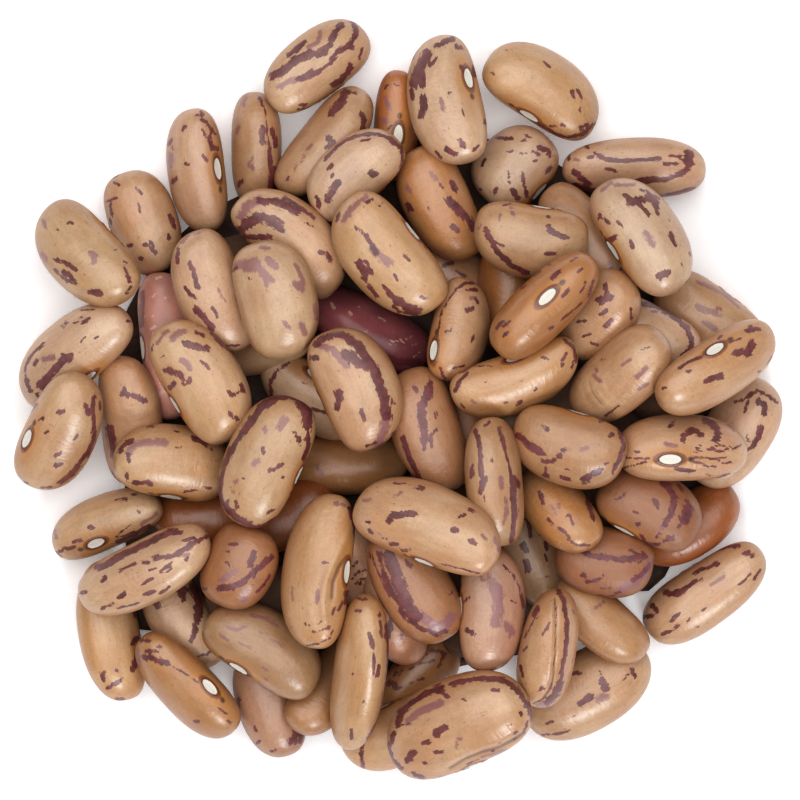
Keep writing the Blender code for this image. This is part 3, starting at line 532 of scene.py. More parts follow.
           (4, 198,332, 206,336), (2, 200,326, 210,325, 222,331), (6, 215,334, 225,343, 235,351),
           (4, 235,352, 243,362), (2, 160,358, 172,354), (-6, 184,361, 189,362, 193,368),
           (4, 203,362, 208,364, 211,368), (7, 168,370, 175,371, 184,376), (5, 172,388, 176,384),
           (4, 186,384, 192,382, 192,378), (3, 230,390, 236,397), (3, 232,394, 240,393),
           (4, 243,385, 246,392), (5, 232,413, 240,419), (2, 155,345, 153,353)),
    "F8": ((-4, 318,465, 324,475), (-2, 337,467, 342,467)),
    "F9": ((9, 432,385, 430,395, 424,405, 423,418, 426,430, 427,440), (5, 427,440, 426,448),
           (4, 433,437, 434,447), (4, 432,436, 438,430), (4, 437,413, 438,418),
           (6, 405,437, 408,450, 414,463, 421,479), (5, 394,455, 402,478), (5, 416,387, 418,391)),
    "F10": ((2, 269,358, 279,356),),
    "G1": ((3, 458,270, 468,276), (5, 446,265, 455,262)),
}


# waves of the slow noise, and how finely crowded angles are found
waveRules = {"waves": 6, "spread": (0.6, 1.5), "phase": 6.28, "angleSteps": 4001}


def crowdedAngles(count, start, sweep, places, closed):  # angles that crowd near given places
    even = np.linspace(0, 1, count, endpoint=not closed)
    fine = np.linspace(0, 1, waveRules["angleSteps"])
    angles = start + sweep * fine
    density = np.ones_like(fine)
    for place, width, gain in places:
        apart = np.angle(np.exp(1j * (angles - place)))
        density += gain * np.exp(-(apart / width) ** 2)
    total = np.concatenate([[0], np.cumsum((density[1:] + density[:-1]) / 2)])
    return np.interp(even, total / total[-1], angles)


def wobble(points, rng, scale, amount):  # slow smooth noise from a few waves
    value = np.zeros(len(points))
    for wave in range(waveRules["waves"]):
        direction = rng.normal(size=3)
        direction *= scale * rng.uniform(*waveRules["spread"]) / np.linalg.norm(direction)
        value += np.sin(points @ direction + rng.uniform(0, waveRules["phase"]))
    return value * amount / (waveRules["waves"] / 2)


# how what is read off the picture is laid on the beans
pictureRules = {
    "dot": 0.12, "middle": (402, 400), "edgeBase": 0.10, "edgeShare": 0.4, "outside": -3.0,
    "farAway": 99.0, "fadeFrom": 0.05, "fadeRate": 8, "creaseFrom": 0.1, "fullCrease": 0.15,
}
# scars off the middle of their side: mm along the bean, degrees round it
scarMoves = {
    "A3": (0.5, -6), "B3": (-1.2, 16), "B4": (-1.4, 30), "B10": (0.8, 0), "C5": (0.0, 10),
    "C6": (-0.5, 8), "C10": (-3.8, 0), "C12": (0.9, -9), "C13": (1.1, 0), "C18": (-0.4, 9),
    "D3": (2.7, 9), "D6": (1.5, 0), "E7": (-1.7, 0), "E11": (1.4, 12), "E13": (1.7, 0),
    "F2": (-0.2, 10), "F3": (1.4, 8), "F4": (-1.6, 22), "F5": (0.0, 15), "F7": (-0.9, 15),
    "E4": (0.0, -100), "G3": (0.0, -80),
}
poreBefore = ("D3",)  # the pore is at the scar's other end
nudges = {  # mm, beans that settled a little further
    "B1": (0.0, -0.12, 0.0), "C9": (0.0, 0.0, 1.5), "E6": (0.5, 0.1, 0.0),
    "E8": (-0.3, 1.6, -1.4), "E9": (-0.2, 0.0, 0.6), "F10": (0.0, 3.0, -2.5),
    "G2": (-2.0, -0.6, -3.0),
}
# folds, seams and wrinkles on single beans: depth and width in mm, then picture dots;
# a depth below zero is a ridge
creases = {
    "E1": ((0.26, 0.34, 452,767, 468,757, 485,750, 500,746, 515,738, 526,731),
           (-0.16, 0.45, 452,760, 470,750, 488,743, 503,739, 517,730)),
    "D12": ((0.16, 0.22, 556,598, 557,620, 557,640, 556,660, 554,680, 550,690, 543,699, 535,703),
            (-0.08, 0.30, 552,600, 553,640, 551,678)),
    "C16": ((0.12, 0.34, 584,383, 588,397, 596,409), (0.13, 0.34, 591,382, 595,394, 604,405),
            (0.11, 0.34, 598,382, 602,392, 611,402), (0.08, 0.34, 606,381, 609,389, 617,398)),
    "E10": ((-0.22, 0.42, 350,535, 343,550, 334,566, 328,582, 325,598, 327,618),
            (0.16, 0.40, 349,556, 341,566, 335,582, 334,598)),
    "C8": ((0.05, 0.25, 318,340, 316,352, 318,366),),
}


def apartFrom(placed, dots):  # how far each point lies from a line drawn in picture dots, in mm
    line = np.array(dots, dtype=float).reshape(-1, 2) - pictureRules["middle"]
    line *= (pictureRules["dot"], -pictureRules["dot"])
    nearest = np.full(len(placed), pictureRules["farAway"])
    for start, end in zip(line[:-1], line[1:]):
        run = end - start
        away = placed[:, :2] - start
        share = np.clip(away @ run / max(run @ run, 1e-6), 0, 1)
        nearest = np.minimum(nearest, np.hypot(*(away - share[:, None] * run).T))
    return nearest


def fineBean(bean, rings, sides):
    form = beanForm
    name = bean.get("name")
    rng = np.random.default_rng(bean["seed"])
    long, broad, bend = bean["size"]
    scarAlong, scarTurn = scarMoves.get(name, (0.0, 0.0 if name else form["hiddenScarTurn"]))
    scarSide = np.array([np.cos(np.radians(scarTurn)), np.sin(np.radians(scarTurn))])
    half = np.array([long / 2, broad / 2, form["thickOverBroad"] * broad / 2])
    skyward = turned(np.eye(3), *bean["pose"])[:, 2]  # straight up, in the bean's own frame
    upTheta = np.arctan2(half[2] * skyward[2], half[1] * skyward[1])
    # the net is finest round the scar and on the side that shows
    scarPhi = np.pi / 2 + np.arcsin(2 * scarAlong / long)
    scarTheta = np.arctan2(scarSide[1] / form["thickOverBroad"], scarSide[0])
    phi = crowdedAngles(rings, 0, np.pi, ((scarPhi, *form["ringCrowd"]),), False)[1:-1, None]
    crowds = ((scarTheta, *form["scarCrowd"]), (upTheta, *form["topCrowd"]))
    theta = crowdedAngles(sides, -np.pi, 2 * np.pi, crowds, True)
    girthPoints = beanPoints(long, broad, bend, phi, theta[None, :])
    tip = bend * long * (1 - form["bendCentre"])
    points = np.concatenate([girthPoints, [[-long / 2, tip, 0], [long / 2, tip, 0]]])
    u = 2 * points[:, 0] / long
    middle = bend * long * (u * u - form["bendCentre"])
    own = points - np.stack([0 * u, middle, 0 * u], -1)  # the place on the unbent bean
    # one end is a little slimmer, and the sides are gently uneven
    taper = 1 + rng.uniform(-form["taper"], form["taper"]) * u
    points[:, 1] = middle + own[:, 1] * taper
    points[:, 2] = own[:, 2] * taper
    unit = own / half
    outward = unit / np.maximum(np.linalg.norm(unit, axis=1, keepdims=True), 0.01)
    dents = wobble(unit, rng, form["unevenScale"], form["unevenness"]) - form["inset"]
    points += outward * dents[:, None]
    # the scar: an oval pad in a raised ring, in a shallow dip of the coat
    scarLong = form["scarHalfLong"] * rng.uniform(*form["scarSpread"])
    alongScar = (own[:, 0] - scarAlong) / scarLong * (-1 if name in poreBefore else 1)
    across = own[:, 2] * scarSide[0] - own[:, 1] * scarSide[1]
    acrossScar = across / form["scarHalfWide"]
    towards = own[:, 1:] @ scarSide
    behind = form["farSide"] * (towards < 0)
    reach = np.hypot(alongScar, acrossScar) + behind
    rise = form["ringRise"] * np.exp(-((reach - form["ringAt"]) / form["ringWidth"]) ** 2)
    rise -= form["scarSink"] * np.exp(-(reach / form["sinkReach"]) ** 2)
    groove = np.exp(-(across / form["grooveWidth"]) ** 2)
    rise -= form["grooveDepth"] * groove * (reach < form["grooveReach"])
    lensLong, lensWide = form["lensHalf"]
    lens = np.hypot((alongScar - form["lensAt"]) * scarLong / lensLong, across / lensWide) + behind
    rise += form["lensRise"] * np.exp(-lens ** 2)
    points[:, 1:] += rise[:, None] * scarSide
    scarPlace = np.stack([alongScar, acrossScar, 2 * towards / broad], -1)
    normal = unit / half
    upness = (normal @ skyward) / np.linalg.norm(normal, axis=1)
    # faces between neighbouring rings, and a fan at each end
    ringCount = len(phi)
    first = np.arange(ringCount * sides).reshape(ringCount, sides)
    near = first[:-1]
    far = first[1:]
    quads = np.stack([near, np.roll(near, -1, 1), np.roll(far, -1, 1), far], -1).reshape(-1, 4)
    faces = [tuple(quad) for quad in quads.tolist()]
    tips = ringCount * sides
    for side in range(sides):
        beside = (side + 1) % sides
        faces.append((tips, beside, side))
        faces.append((int(first[-1, side]), int(first[-1, beside]), tips + 1))
    placed = turned(points, *bean["pose"]) + bean["centre"] + nudges.get(name, (0, 0, 0))
    # how strongly each point is darkened as painted shade along its crease
    crease = np.zeros(len(placed))
    for depth, width, *dots in creases.get(name, ()):
        near = np.exp(-(apartFrom(placed, dots) / width) ** 2) * (upness > pictureRules["creaseFrom"])
        placed[:, 2] -= depth * near
        crease = np.maximum(crease, near * np.clip(depth / pictureRules["fullCrease"], 0, 1) ** 2)
    return placed, faces, unit, scarPlace, upness, crease


# how far each point lies inside the nearest stroke: 0 at its edge, above 0 inside
def strokeFields(placed, upness, strokes):
    outside = pictureRules["outside"]
    bold = np.full(len(placed), outside)
    pale = np.full(len(placed), outside)
    for width, *dots in strokes:
        reach = abs(width) * pictureRules["dot"] / 2
        edge = pictureRules["edgeBase"] + pictureRules["edgeShare"] * reach
        field = bold if width > 0 else pale
        np.maximum(field, (reach - apartFrom(placed, dots)) / edge, out=field)
    turnedAway = pictureRules["fadeRate"] * np.clip(pictureRules["fadeFrom"] - upness, 0, 1)
    return np.maximum(bold - turnedAway, outside), np.maximum(pale - turnedAway, outside)


def seen(red, green, blue):  # a colour of the photo, as light
    value = np.array([red, green, blue]) / 255
    return np.where(value < 0.04045, value / 12.92, ((value + 0.055) / 1.055) ** 2.4)


# looks of each kind of bean: its bare coat colour, how much it is flecked and
# streaked (0 to 1), how strong the orange halo round the scar is
kinds = {
    "flecked": {"coat": (178, 138, 101), "fleck": 0.55, "streak": 0.25, "halo": 1.0},
    "streaked": {"coat": (178, 136, 101), "fleck": 0.40, "streak": 0.85, "halo": 0.9},
    "plain": {"coat": (176, 132, 90), "fleck": 0.25, "streak": 0.10, "halo": 1.0},
    "faded": {"coat": (174, 131, 93), "fleck": 0.25, "streak": 0.30, "halo": 0.5},
    "pink": {"coat": (168, 122, 95), "fleck": 0.30, "streak": 0.50, "halo": 0.4},
    "whitish": {"coat": (220, 165, 130), "fleck": 0.30, "streak": 0.30, "halo": 0.1},
    "ochre": {"coat": (166, 114, 68), "fleck": 0.45, "streak": 0.30, "halo": 1.0},
    "russet": {"coat": (165, 101, 54), "fleck": 0.35, "streak": 0.35, "halo": 0.8},
    "speckled": {"coat": (160, 112, 66), "fleck": 0.80, "streak": 0.50, "halo": 0.9},
    "smoky": {"coat": (150, 113, 80), "fleck": 0.20, "streak": 0.10, "halo": 0.7},
    "mauve": {"coat": (180, 124, 103), "fleck": 0.10, "streak": 0.0, "halo": 0.3},
    "wine": {"coat": (146, 79, 81), "fleck": 0.10, "streak": 0.0, "halo": 0.2},
    # hidden: a coat darkened into painted shade, so the gaps between shown beans read dark
    "hidden": {"coat": (90, 60, 38), "fleck": 0.50, "streak": 0.40, "halo": 0.6},
}
# beans whose coat is paler or darker than usual, partly their own coat and partly painted light and painted
# shade; the darkest, deep in the heap, are painted shade
coatSharesAndPaintedShade = {
    1.30: ("B4", "B7", "B9", "B12", "C4", "C9", "C15", "C19", "F5", "F10"),
    1.12: ("A3", "B1", "B5", "B6", "C3", "C5", "C16", "C18", "D3", "D9", "D10", "E3", "E5", "E15",
           "E17", "F3"),
    0.88: ("A4", "B2", "B10", "C10", "C12", "C14", "D2", "D11", "D12", "E4", "F2", "F6"),
    0.75: ("B11", "C11", "D1", "D8", "E8", "E13", "F9", "F11", "G1", "G4"),
    0.60: ("E6", "E16", "G2"),
    0.48: ("D6", "D7"),
    0.38: ("G3",),
}
# how paler shares and painted shade act on red, green and blue, how beans differ, and where loose flecks
# are left out
coatRules = {
    "palePowers": (0.4, 0.8, 1.6), "darkPowers": (0.7, 1.12, 1.5), "dullBelow": 0.62,
    "hiddenDull": 0.45, "seedStep": 5000, "shade": (0.93, 1.07), "toneSpread": 0.015, "noiseReach": 40,
    "stretch": (1.0, 0.62, 0.5), "looseCut": 0.9, "looseFrom": 0.15, "looseOver": 0.5,
    "fleckSpread": (0.7, 1.25), "streakSpread": (0.8, 1.15), "haloSpread": (0.8, 1.15),
}


def joinedBeans(name, beans, rings, sides):
    rules = coatRules
    points, faces, values = [], [], {}
    start = 0
    for bean in beans:
        rng = np.random.default_rng(bean["seed"] + rules["seedStep"])
        placed, beanFaces, unit, scarPlace, upness, crease = fineBean(bean, rings, sides)
        look = kinds[bean["kind"]]
        tint = seen(*look["coat"]) * rng.uniform(*rules["shade"])
        tint = tint * (1 + rng.normal(size=3) * rules["toneSpread"])
        dull = 0.0 if "name" in bean else rules["hiddenDull"]
        # paler and darker shares: partly the beans' own coats, partly painted light and painted shade
        for share, names in coatSharesAndPaintedShade.items():
            if bean.get("name") in names:
                powers = rules["palePowers"] if share > 1 else rules["darkPowers"]
                tint = tint * share ** np.array(powers)
                dull = max(rules["dullBelow"] - share, 0)
        strokes = coatMarks.get(bean.get("name"), ())
        bold, pale = strokeFields(placed, upness, strokes)
        count = len(placed)
        offset = rng.uniform(-rules["noiseReach"], rules["noiseReach"], size=3)
        # where strokes are drawn on the upper side, the loose flecks are left to the sides
        upper = np.clip((upness + rules["looseFrom"]) / rules["looseOver"], 0, 1)
        loose = 1 - rules["looseCut"] * upper * (len(strokes) > 0)
        for key, value in (
            ("coatPlace", unit * rules["stretch"] + offset),
            ("scarPlace", scarPlace),
            ("coatTint", np.tile(tint, (count, 1))),
            ("boldMark", bold),
            ("paleMark", pale),
            ("creaseShadeMask", crease),
            ("upShare", upness),
            ("dullShare", np.full(count, dull)),
            ("fleckShare", look["fleck"] * rng.uniform(*rules["fleckSpread"]) * loose),
            ("streakShare", look["streak"] * rng.uniform(*rules["streakSpread"]) * loose),
            ("haloShare", np.full(count, look["halo"] * rng.uniform(*rules["haloSpread"]))),
        ):
            values.setdefault(key, []).append(value)
        points.append(placed + shift)
        faces += [tuple(corner + start for corner in face) for face in beanFaces]
        start += count
    mesh = bpy.data.meshes.new(name)
    mesh.from_pydata((np.concatenate(points) * mm).tolist(), [], faces)
    for key, value in values.items():
        value = np.concatenate(value)
        if value.ndim == 1:
            mesh.attributes.new(key, "FLOAT", "POINT").data.foreach_set("value", value.astype("f"))
        else:
            made = mesh.attributes.new(key, "FLOAT_VECTOR", "POINT")
            made.data.foreach_set("vector", value.astype("f").ravel())
    mesh.polygons.foreach_set("use_smooth", np.ones(len(mesh.polygons), dtype=bool))
    mesh.update()
    piece = bpy.data.objects.new(name, mesh)
    bpy.context.scene.collection.objects.link(piece)
    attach(piece, "root")
    return piece


# shader maths as expressions
class Socket:
    def __init__(self, tree, link):
        self.tree = tree
        self.link = link

    def math(self, operation, *others):
        node = self.tree.nodes.new("ShaderNodeMath")
        node.operation = operation
        for slot, value in zip(node.inputs, (self, *others)):
            plug(self.tree, slot, value)
        return Socket(self.tree, node.outputs[0])

    def __add__(self, other):
        return self.math("ADD", other)

    def __sub__(self, other):
        return self.math("SUBTRACT", other)

    def __mul__(self, other):
        return self.math("MULTIPLY", other)

    def __truediv__(self, other):
        return self.math("DIVIDE", other)

    def __rsub__(self, other):
        return (self * -1.0).math("ADD", other)

    __radd__ = __add__
    __rmul__ = __mul__

    def power(self, other):
        return self.math("POWER", other)

    def atLeast(self, other):
        return self.math("MAXIMUM", other)

    def atMost(self, other):
        return self.math("MINIMUM", other)

    def size(self):
        return self.math("ABSOLUTE")

    def ramp(self, low, high):  # 0 at low, 1 at high, smooth between
        node = self.tree.nodes.new("ShaderNodeMapRange")
        node.interpolation_type = "SMOOTHSTEP"
        plug(self.tree, node.inputs["Value"], self)
        plug(self.tree, node.inputs["From Min"], low)
        plug(self.tree, node.inputs["From Max"], high)
        return Socket(self.tree, node.outputs["Result"])


def plug(tree, slot, value):
    if isinstance(value, Socket):
        tree.links.new(value.link, slot)
    else:
        slot.default_value = value


mixSlots = {"first": 6, "second": 7, "result": 2}  # where a mix node takes and gives colours


class Paint:  # one material's node tree
    def __init__(self, name, roughness, specular=0.5):
        self.material = bpy.data.materials.new(name)
        self.material.use_nodes = True
        self.tree = self.material.node_tree
        self.shader = self.tree.nodes["Principled BSDF"]
        self.shader.inputs["Roughness"].default_value = roughness
        self.shader.inputs["Specular IOR Level"].default_value = specular

    def node(self, kind, settings=None, inputs=None, output=0):
        made = self.tree.nodes.new(kind)
        for key, value in (settings or {}).items():
            setattr(made, key, value)
        for key, value in (inputs or {}).items():
            plug(self.tree, made.inputs[key], value)
        return Socket(self.tree, made.outputs[output])

    def attribute(self, name, output="Fac"):
        return self.node("ShaderNodeAttribute", {"attribute_name": name}, None, output)

    def parts(self, vector):
        made = self.tree.nodes.new("ShaderNodeSeparateXYZ")
        plug(self.tree, made.inputs[0], vector)
        return [Socket(self.tree, out) for out in made.outputs]

    def scaled(self, vector, scale):
        return self.node("ShaderNodeVectorMath", {"operation": "MULTIPLY"}, {0: vector, 1: scale})

    def noise(self, vector, stretch, scale, detail=2.0, roughness=0.5, distortion=0.0):
        vector = self.scaled(vector, stretch) if stretch else vector
        return self.node("ShaderNodeTexNoise", None,
                         {"Vector": vector, "Scale": scale, "Detail": detail,
                          "Roughness": roughness, "Distortion": distortion})

    def blend(self, factor, first, second):
        made = self.tree.nodes.new("ShaderNodeMix")
        made.data_type = "RGBA"
        plug(self.tree, made.inputs["Factor"], factor)
        plug(self.tree, made.inputs[mixSlots["first"]], colour(first))
        plug(self.tree, made.inputs[mixSlots["second"]], colour(second))
        return Socket(self.tree, made.outputs[mixSlots["result"]])

    def brightened(self, color, amount):  # a colour times a number that varies
        made = self.tree.nodes.new("ShaderNodeVectorMath")
        made.operation = "SCALE"
        plug(self.tree, made.inputs[0], color)
        plug(self.tree, made.inputs["Scale"], amount)
        return Socket(self.tree, made.outputs[0])

    def bump(self, height, strength, distance):
        return self.node("ShaderNodeBump", None,
                         {"Height": height, "Strength": strength, "Distance": distance})

    def use(self, links):
        for key, value in links.items():
            plug(self.tree, self.shader.inputs[key], value)
        return self.material


def colour(value):
    if isinstance(value, Socket):
        return value
    return (*seen(*value), 1.0)


coatLook = {
    "maroon": (104, 38, 48), "deepMaroon": (76, 22, 30), "faded": (132, 84, 88),
    "halo": (168, 116, 66), "gold": (178, 122, 64), "ring": (118, 60, 28), "ringEdge": (74, 34, 20),
    "scar": (214, 208, 196), "groove": (196, 178, 150), "pore": (60, 34, 26),
    "speck": (112, 70, 50), "shadeInCreases": (84, 52, 36), "cream": (200, 172, 140),
    # the side multiplier below is painted shade for the flanks and the underside
    "flush": (172, 126, 94), "paintedSideShade": (0.84, 0.70, 0.58),
    "roughness": 0.35, "specular": 0.8, "scarRoughness": 0.75, "markRough": 0.05,
    "grainRough": 0.10, "roughBase": -0.05,
    "mottling": (0.36, 0.42, 0.61), "markGrain": (0.6, 0.72), "paintedSideShadeDrift": 0.2,
    "haloReach": (5.5, 3.8), "haloDrift": 0.5, "rimDrift": 0.12, "goldDrift": 1.4,
    "poreAt": 1.85, "poreHalf": (0.34, 0.55), "raggedness": 3.4, "tornness": 2.4,
    "fleckFrom": 0.80, "fleckGain": 0.24, "streakFrom": 0.82, "streakGain": 0.22, "looseRagged": 0.025,
    "swells": 0.5, "wrinkles": 0.45, "skin": 0.06, "bump": (0.35, 0.0003),
}
# the coat's noises: a stretch along and across the bean, or none, then scale, detail,
# roughness and distortion
coatNoises = {
    "slow": (None, 1.6, 2.0), "flush": ((1, 1.4, 1.4), 1.1, 2.0, 0.5, 0.4),
    "grain": (None, 26.0, 3.0, 0.6), "brushed": ((3.0, 10.0, 10.0), 1.0, 3.0, 0.6),
    "specks": ((15.0, 24.0, 24.0), 1.0, 1.0), "halo": (None, 3.0, 3.0), "rim": (None, 30.0, 2.0),
    "gold": (None, 5.0, 2.0), "ragged": ((9.0, 20.0, 20.0), 1.0, 3.0, 0.65),
    "torn": ((3.2, 11.0, 11.0), 1.0, 2.0, 0.55), "flecks": ((3.4, 6.6, 6.6), 1.0, 2.5, 0.55, 0.3),
    "streaks": ((1.1, 5.2, 5.2), 1.0, 2.0, 0.5, 0.5), "fade": (None, 2.3, 1.0),
    "markTone": (None, 9.0, 2.0), "wrinkles": ((17.0, 5.0, 5.0), 1.0, 2.0, 0.5, 0.6),
    "swells": (None, 3.2, 2.0), "skin": (None, 40.0, 2.0), "darkGrain": (None, 24.0, 3.0, 0.6),
    "darkSlow": (None, 1.8, 2.0), "darkSpecks": ((14.0, 22.0, 22.0), 1.0, 2.0),
}
# how strongly each layer covers what lies under it
coatCovers = {
    "cream": 0.45, "flush": 0.25, "paintedSideShade": 0.85, "specks": 0.5, "halo": 0.6, "gold": 0.6,
    "fade": 0.2, "pale": 0.8, "marks": 0.92, "shadeInCreases": 0.7, "ring": 0.85, "ringEdge": 0.8,
    "pore": 0.8, "groove": 0.3,
}
# where each layer begins and where it is full
coatEdges = {
    "slow": (0.35, 0.7), "flush": (0.45, 0.75), "creamTone": (0.1, 0.3), "paintedSideShade": (0.10, 0.85),
    "specks": (0.70, 0.76), "haloSide": (0.1, 0.6), "halo": (0.15, 1.15), "facing": (0.2, 0.5),
    "gold": (1.5, 3.3), "flecks": (0.0, 0.018), "streaks": (0.0, 0.02), "bold": (-0.10, 0.24),
    "pale": (-0.4, 0.6), "fade": (0.45, 0.62), "markTone": (0.35, 0.65), "shadeInCreases": (0.45, 1.0),
    "ring": (1.38, 1.68), "ringEdge": (1.08, 1.30), "pad": (0.90, 1.02), "pore": (0.6, 1.3),
    "grooveSide": (0.04, 0.16), "grooveEnd": (0.5, 0.8),
}


def roundReach(along, across):  # how far a place lies from the middle of an oval
    return (along.power(2.0) + across.power(2.0)).power(0.5)


def beanCoat():
    look, cover, edge = coatLook, coatCovers, coatEdges
    paint = Paint("mottledBeanCoat", look["roughness"], look["specular"])
    place = paint.attribute("coatPlace", "Vector")
    tint = paint.attribute("coatTint", "Vector")
    alongScar, acrossScar, scarSide = paint.parts(paint.attribute("scarPlace", "Vector"))
    fleckShare = paint.attribute("fleckShare")
    streakShare = paint.attribute("streakShare")
    haloShare = paint.attribute("haloShare")

    def noise(name):
        return paint.noise(place, *coatNoises[name])

    # slow changes of the coat: creamier places, a pink flush, and fine mottling
    slow = noise("slow").ramp(*edge["slow"])
    flush = noise("flush").ramp(*edge["flush"])
    grain = noise("grain")
    creamy = slow * cover["cream"] * paint.parts(tint)[1].ramp(*edge["creamTone"])
    color = paint.blend(creamy, tint, look["cream"])
    color = paint.blend(flush * cover["flush"], color, look["flush"])
    grained, brushed, base = look["mottling"]
    color = paint.brightened(color, grain * grained + noise("brushed") * brushed + base)
    # painted shade: the flanks and the underside are darker and browner than the top, by how little they
    # face the sky
    paintedSideShade = paint.attribute("upShare") + (flush - 0.5) * look["paintedSideShadeDrift"]
    paintedSideShade = 1.0 - paintedSideShade.ramp(*edge["paintedSideShade"])
    color = paint.blend(paintedSideShade * cover["paintedSideShade"], color, paint.scaled(color, look["paintedSideShade"]))
    color = paint.blend(noise("specks").ramp(*edge["specks"]) * cover["specks"], color, look["speck"])

    # orange-brown halo round the scar, golden beside its ring
    haloLong, haloWide = look["haloReach"]
    haloEdge = roundReach(alongScar / haloLong, acrossScar / haloWide)
    haloEdge = haloEdge + (noise("halo") - 0.5) * look["haloDrift"]
    halo = (1.0 - haloEdge.ramp(*edge["halo"])) * scarSide.ramp(*edge["haloSide"]) * haloShare
    color = paint.blend(halo.atMost(1.0) * cover["halo"], color, look["halo"])
    scarReach = roundReach(alongScar, acrossScar) + (noise("rim") - 0.5) * look["rimDrift"]
    facing = scarSide.ramp(*edge["facing"])
    goldEdge = scarReach + (noise("gold") - 0.5) * look["goldDrift"]
    gold = (1.0 - goldEdge.ramp(*edge["gold"])) * facing * haloShare
    color = paint.blend(gold.atMost(1.0) * cover["gold"], color, look["gold"])

    # ragged edge for all marks, torn along the length
    ragged = (noise("ragged") - 0.5) * look["raggedness"]
    torn = (noise("torn") - 0.5) * look["tornness"]
    loose = ragged * look["looseRagged"]
    # small flecks, a little longer along the bean, and long streaks that follow the length
    fleckEdge = look["fleckFrom"] - fleckShare * look["fleckGain"]
    fleck = (noise("flecks") + loose - fleckEdge).ramp(*edge["flecks"])
    streakEdge = look["streakFrom"] - streakShare * look["streakGain"]
    streak = (noise("streaks") + loose - streakEdge).ramp(*edge["streaks"])
    bold = (paint.attribute("boldMark") + ragged + torn).ramp(*edge["bold"])
    marks = fleck.atLeast(streak).atLeast(bold)
    pale = (paint.attribute("paleMark") + ragged + torn).ramp(*edge["pale"])
    markTone = paint.blend(noise("markTone").ramp(*edge["markTone"]), look["maroon"],
                           look["deepMaroon"])
    markTone = paint.blend(noise("fade").ramp(*edge["fade"]) * cover["fade"], markTone, look["faded"])
    color = paint.blend(pale * cover["pale"], color, look["faded"])
    grained, base = look["markGrain"]
    markTone = paint.brightened(markTone, grain * grained + base)
    color = paint.blend(marks * cover["marks"], color, markTone)
    # painted shade: the coat is darkened along the creases and folds
    shadeInCreases = paint.attribute("creaseShadeMask").ramp(*edge["shadeInCreases"])
    color = paint.blend(shadeInCreases * cover["shadeInCreases"], color, look["shadeInCreases"])

    # the scar: off-white pad, brown ring with a dark inner edge, dark pore at one end
    poreLong, poreWide = look["poreHalf"]
    poreReach = roundReach((alongScar - look["poreAt"]) / poreLong, acrossScar / poreWide)
    for name, reach in (("ring", scarReach), ("ringEdge", scarReach), ("pore", poreReach)):
        layer = (1.0 - reach.ramp(*edge[name])) * facing
        color = paint.blend(layer * cover[name], color, look[name])
    pad = (1.0 - scarReach.ramp(*edge["pad"])) * facing
    groove = 1.0 - acrossScar.size().ramp(*edge["grooveSide"])
    groove = groove * (1.0 - alongScar.size().ramp(*edge["grooveEnd"]))
    padColor = paint.blend(groove * cover["groove"], look["scar"], look["groove"])
    color = paint.blend(pad, color, padColor)

    rough = marks * look["markRough"] + grain * look["grainRough"]
    rough = rough + (look["roughness"] + look["roughBase"])
    rough = rough + pad * (look["scarRoughness"] - look["roughness"])
    rough = rough + paint.attribute("dullShare")
    # slow swells, fine wrinkles across the bean, and a fine skin grain
    height = noise("swells") * look["swells"] + noise("wrinkles") * look["wrinkles"]
    height = height + noise("skin") * look["skin"]
    normal = paint.bump(height, *look["bump"])
    return paint.use({"Base Color": color, "Roughness": rough, "Normal": normal})


# the wine and mauve coats, with pale specks
darkLook = {
    "bold": (92, 34, 42), "specks": (190, 140, 128), "pale": (204, 166, 146), "ring": (60, 26, 24),
    "pad": (226, 216, 200), "roughness": 0.28, "roughBase": 0.26, "grainRough": 0.12,
    "mottling": (0.3, 0.35, 0.68), "raggedness": 3.0, "swells": 0.5, "skin": 0.04,
}
darkCovers = {"bold": 0.6, "specks": 0.4, "pale": 0.85, "ring": 0.8}
darkEdges = {
    "slow": (0.3, 0.7), "bold": (-0.3, 0.5), "specks": (0.66, 0.72), "pale": (-0.1, 0.3),
    "ring": (1.2, 1.5), "pad": (0.92, 1.02),
}


def darkCoat():
    look, cover, edge = darkLook, darkCovers, darkEdges
    paint = Paint("mauveBeanCoat", look["roughness"])
    place = paint.attribute("coatPlace", "Vector")
    alongScar, acrossScar, scarSide = paint.parts(paint.attribute("scarPlace", "Vector"))

    def noise(name):
        return paint.noise(place, *coatNoises[name])

    grain = noise("darkGrain")
    grained, slow, base = look["mottling"]
    shade = grain * grained + noise("darkSlow").ramp(*edge["slow"]) * slow + base
    color = paint.brightened(paint.attribute("coatTint", "Vector"), shade)
    ragged = (noise("ragged") - 0.5) * look["raggedness"]
    bold = (paint.attribute("boldMark") + ragged).ramp(*edge["bold"])
    specks = noise("darkSpecks").ramp(*edge["specks"])
    pale = (paint.attribute("paleMark") + ragged).ramp(*edge["pale"])
    for name, layer in (("bold", bold), ("specks", specks), ("pale", pale)):
        color = paint.blend(layer * cover[name], color, look[name])
    scarReach = roundReach(alongScar, acrossScar)
    facing = scarSide.ramp(*coatEdges["facing"])
    ring = (1.0 - scarReach.ramp(*edge["ring"])) * facing
    color = paint.blend(ring * cover["ring"], color, look["ring"])
    color = paint.blend((1.0 - scarReach.ramp(*edge["pad"])) * facing, color, look["pad"])
    rough = grain * look["grainRough"] + look["roughBase"]
    height = noise("swells") * look["swells"] + grain * look["skin"]
    normal = paint.bump(height, *coatLook["bump"])
    return paint.use({"Base Color": color, "Roughness": rough, "Normal": normal})


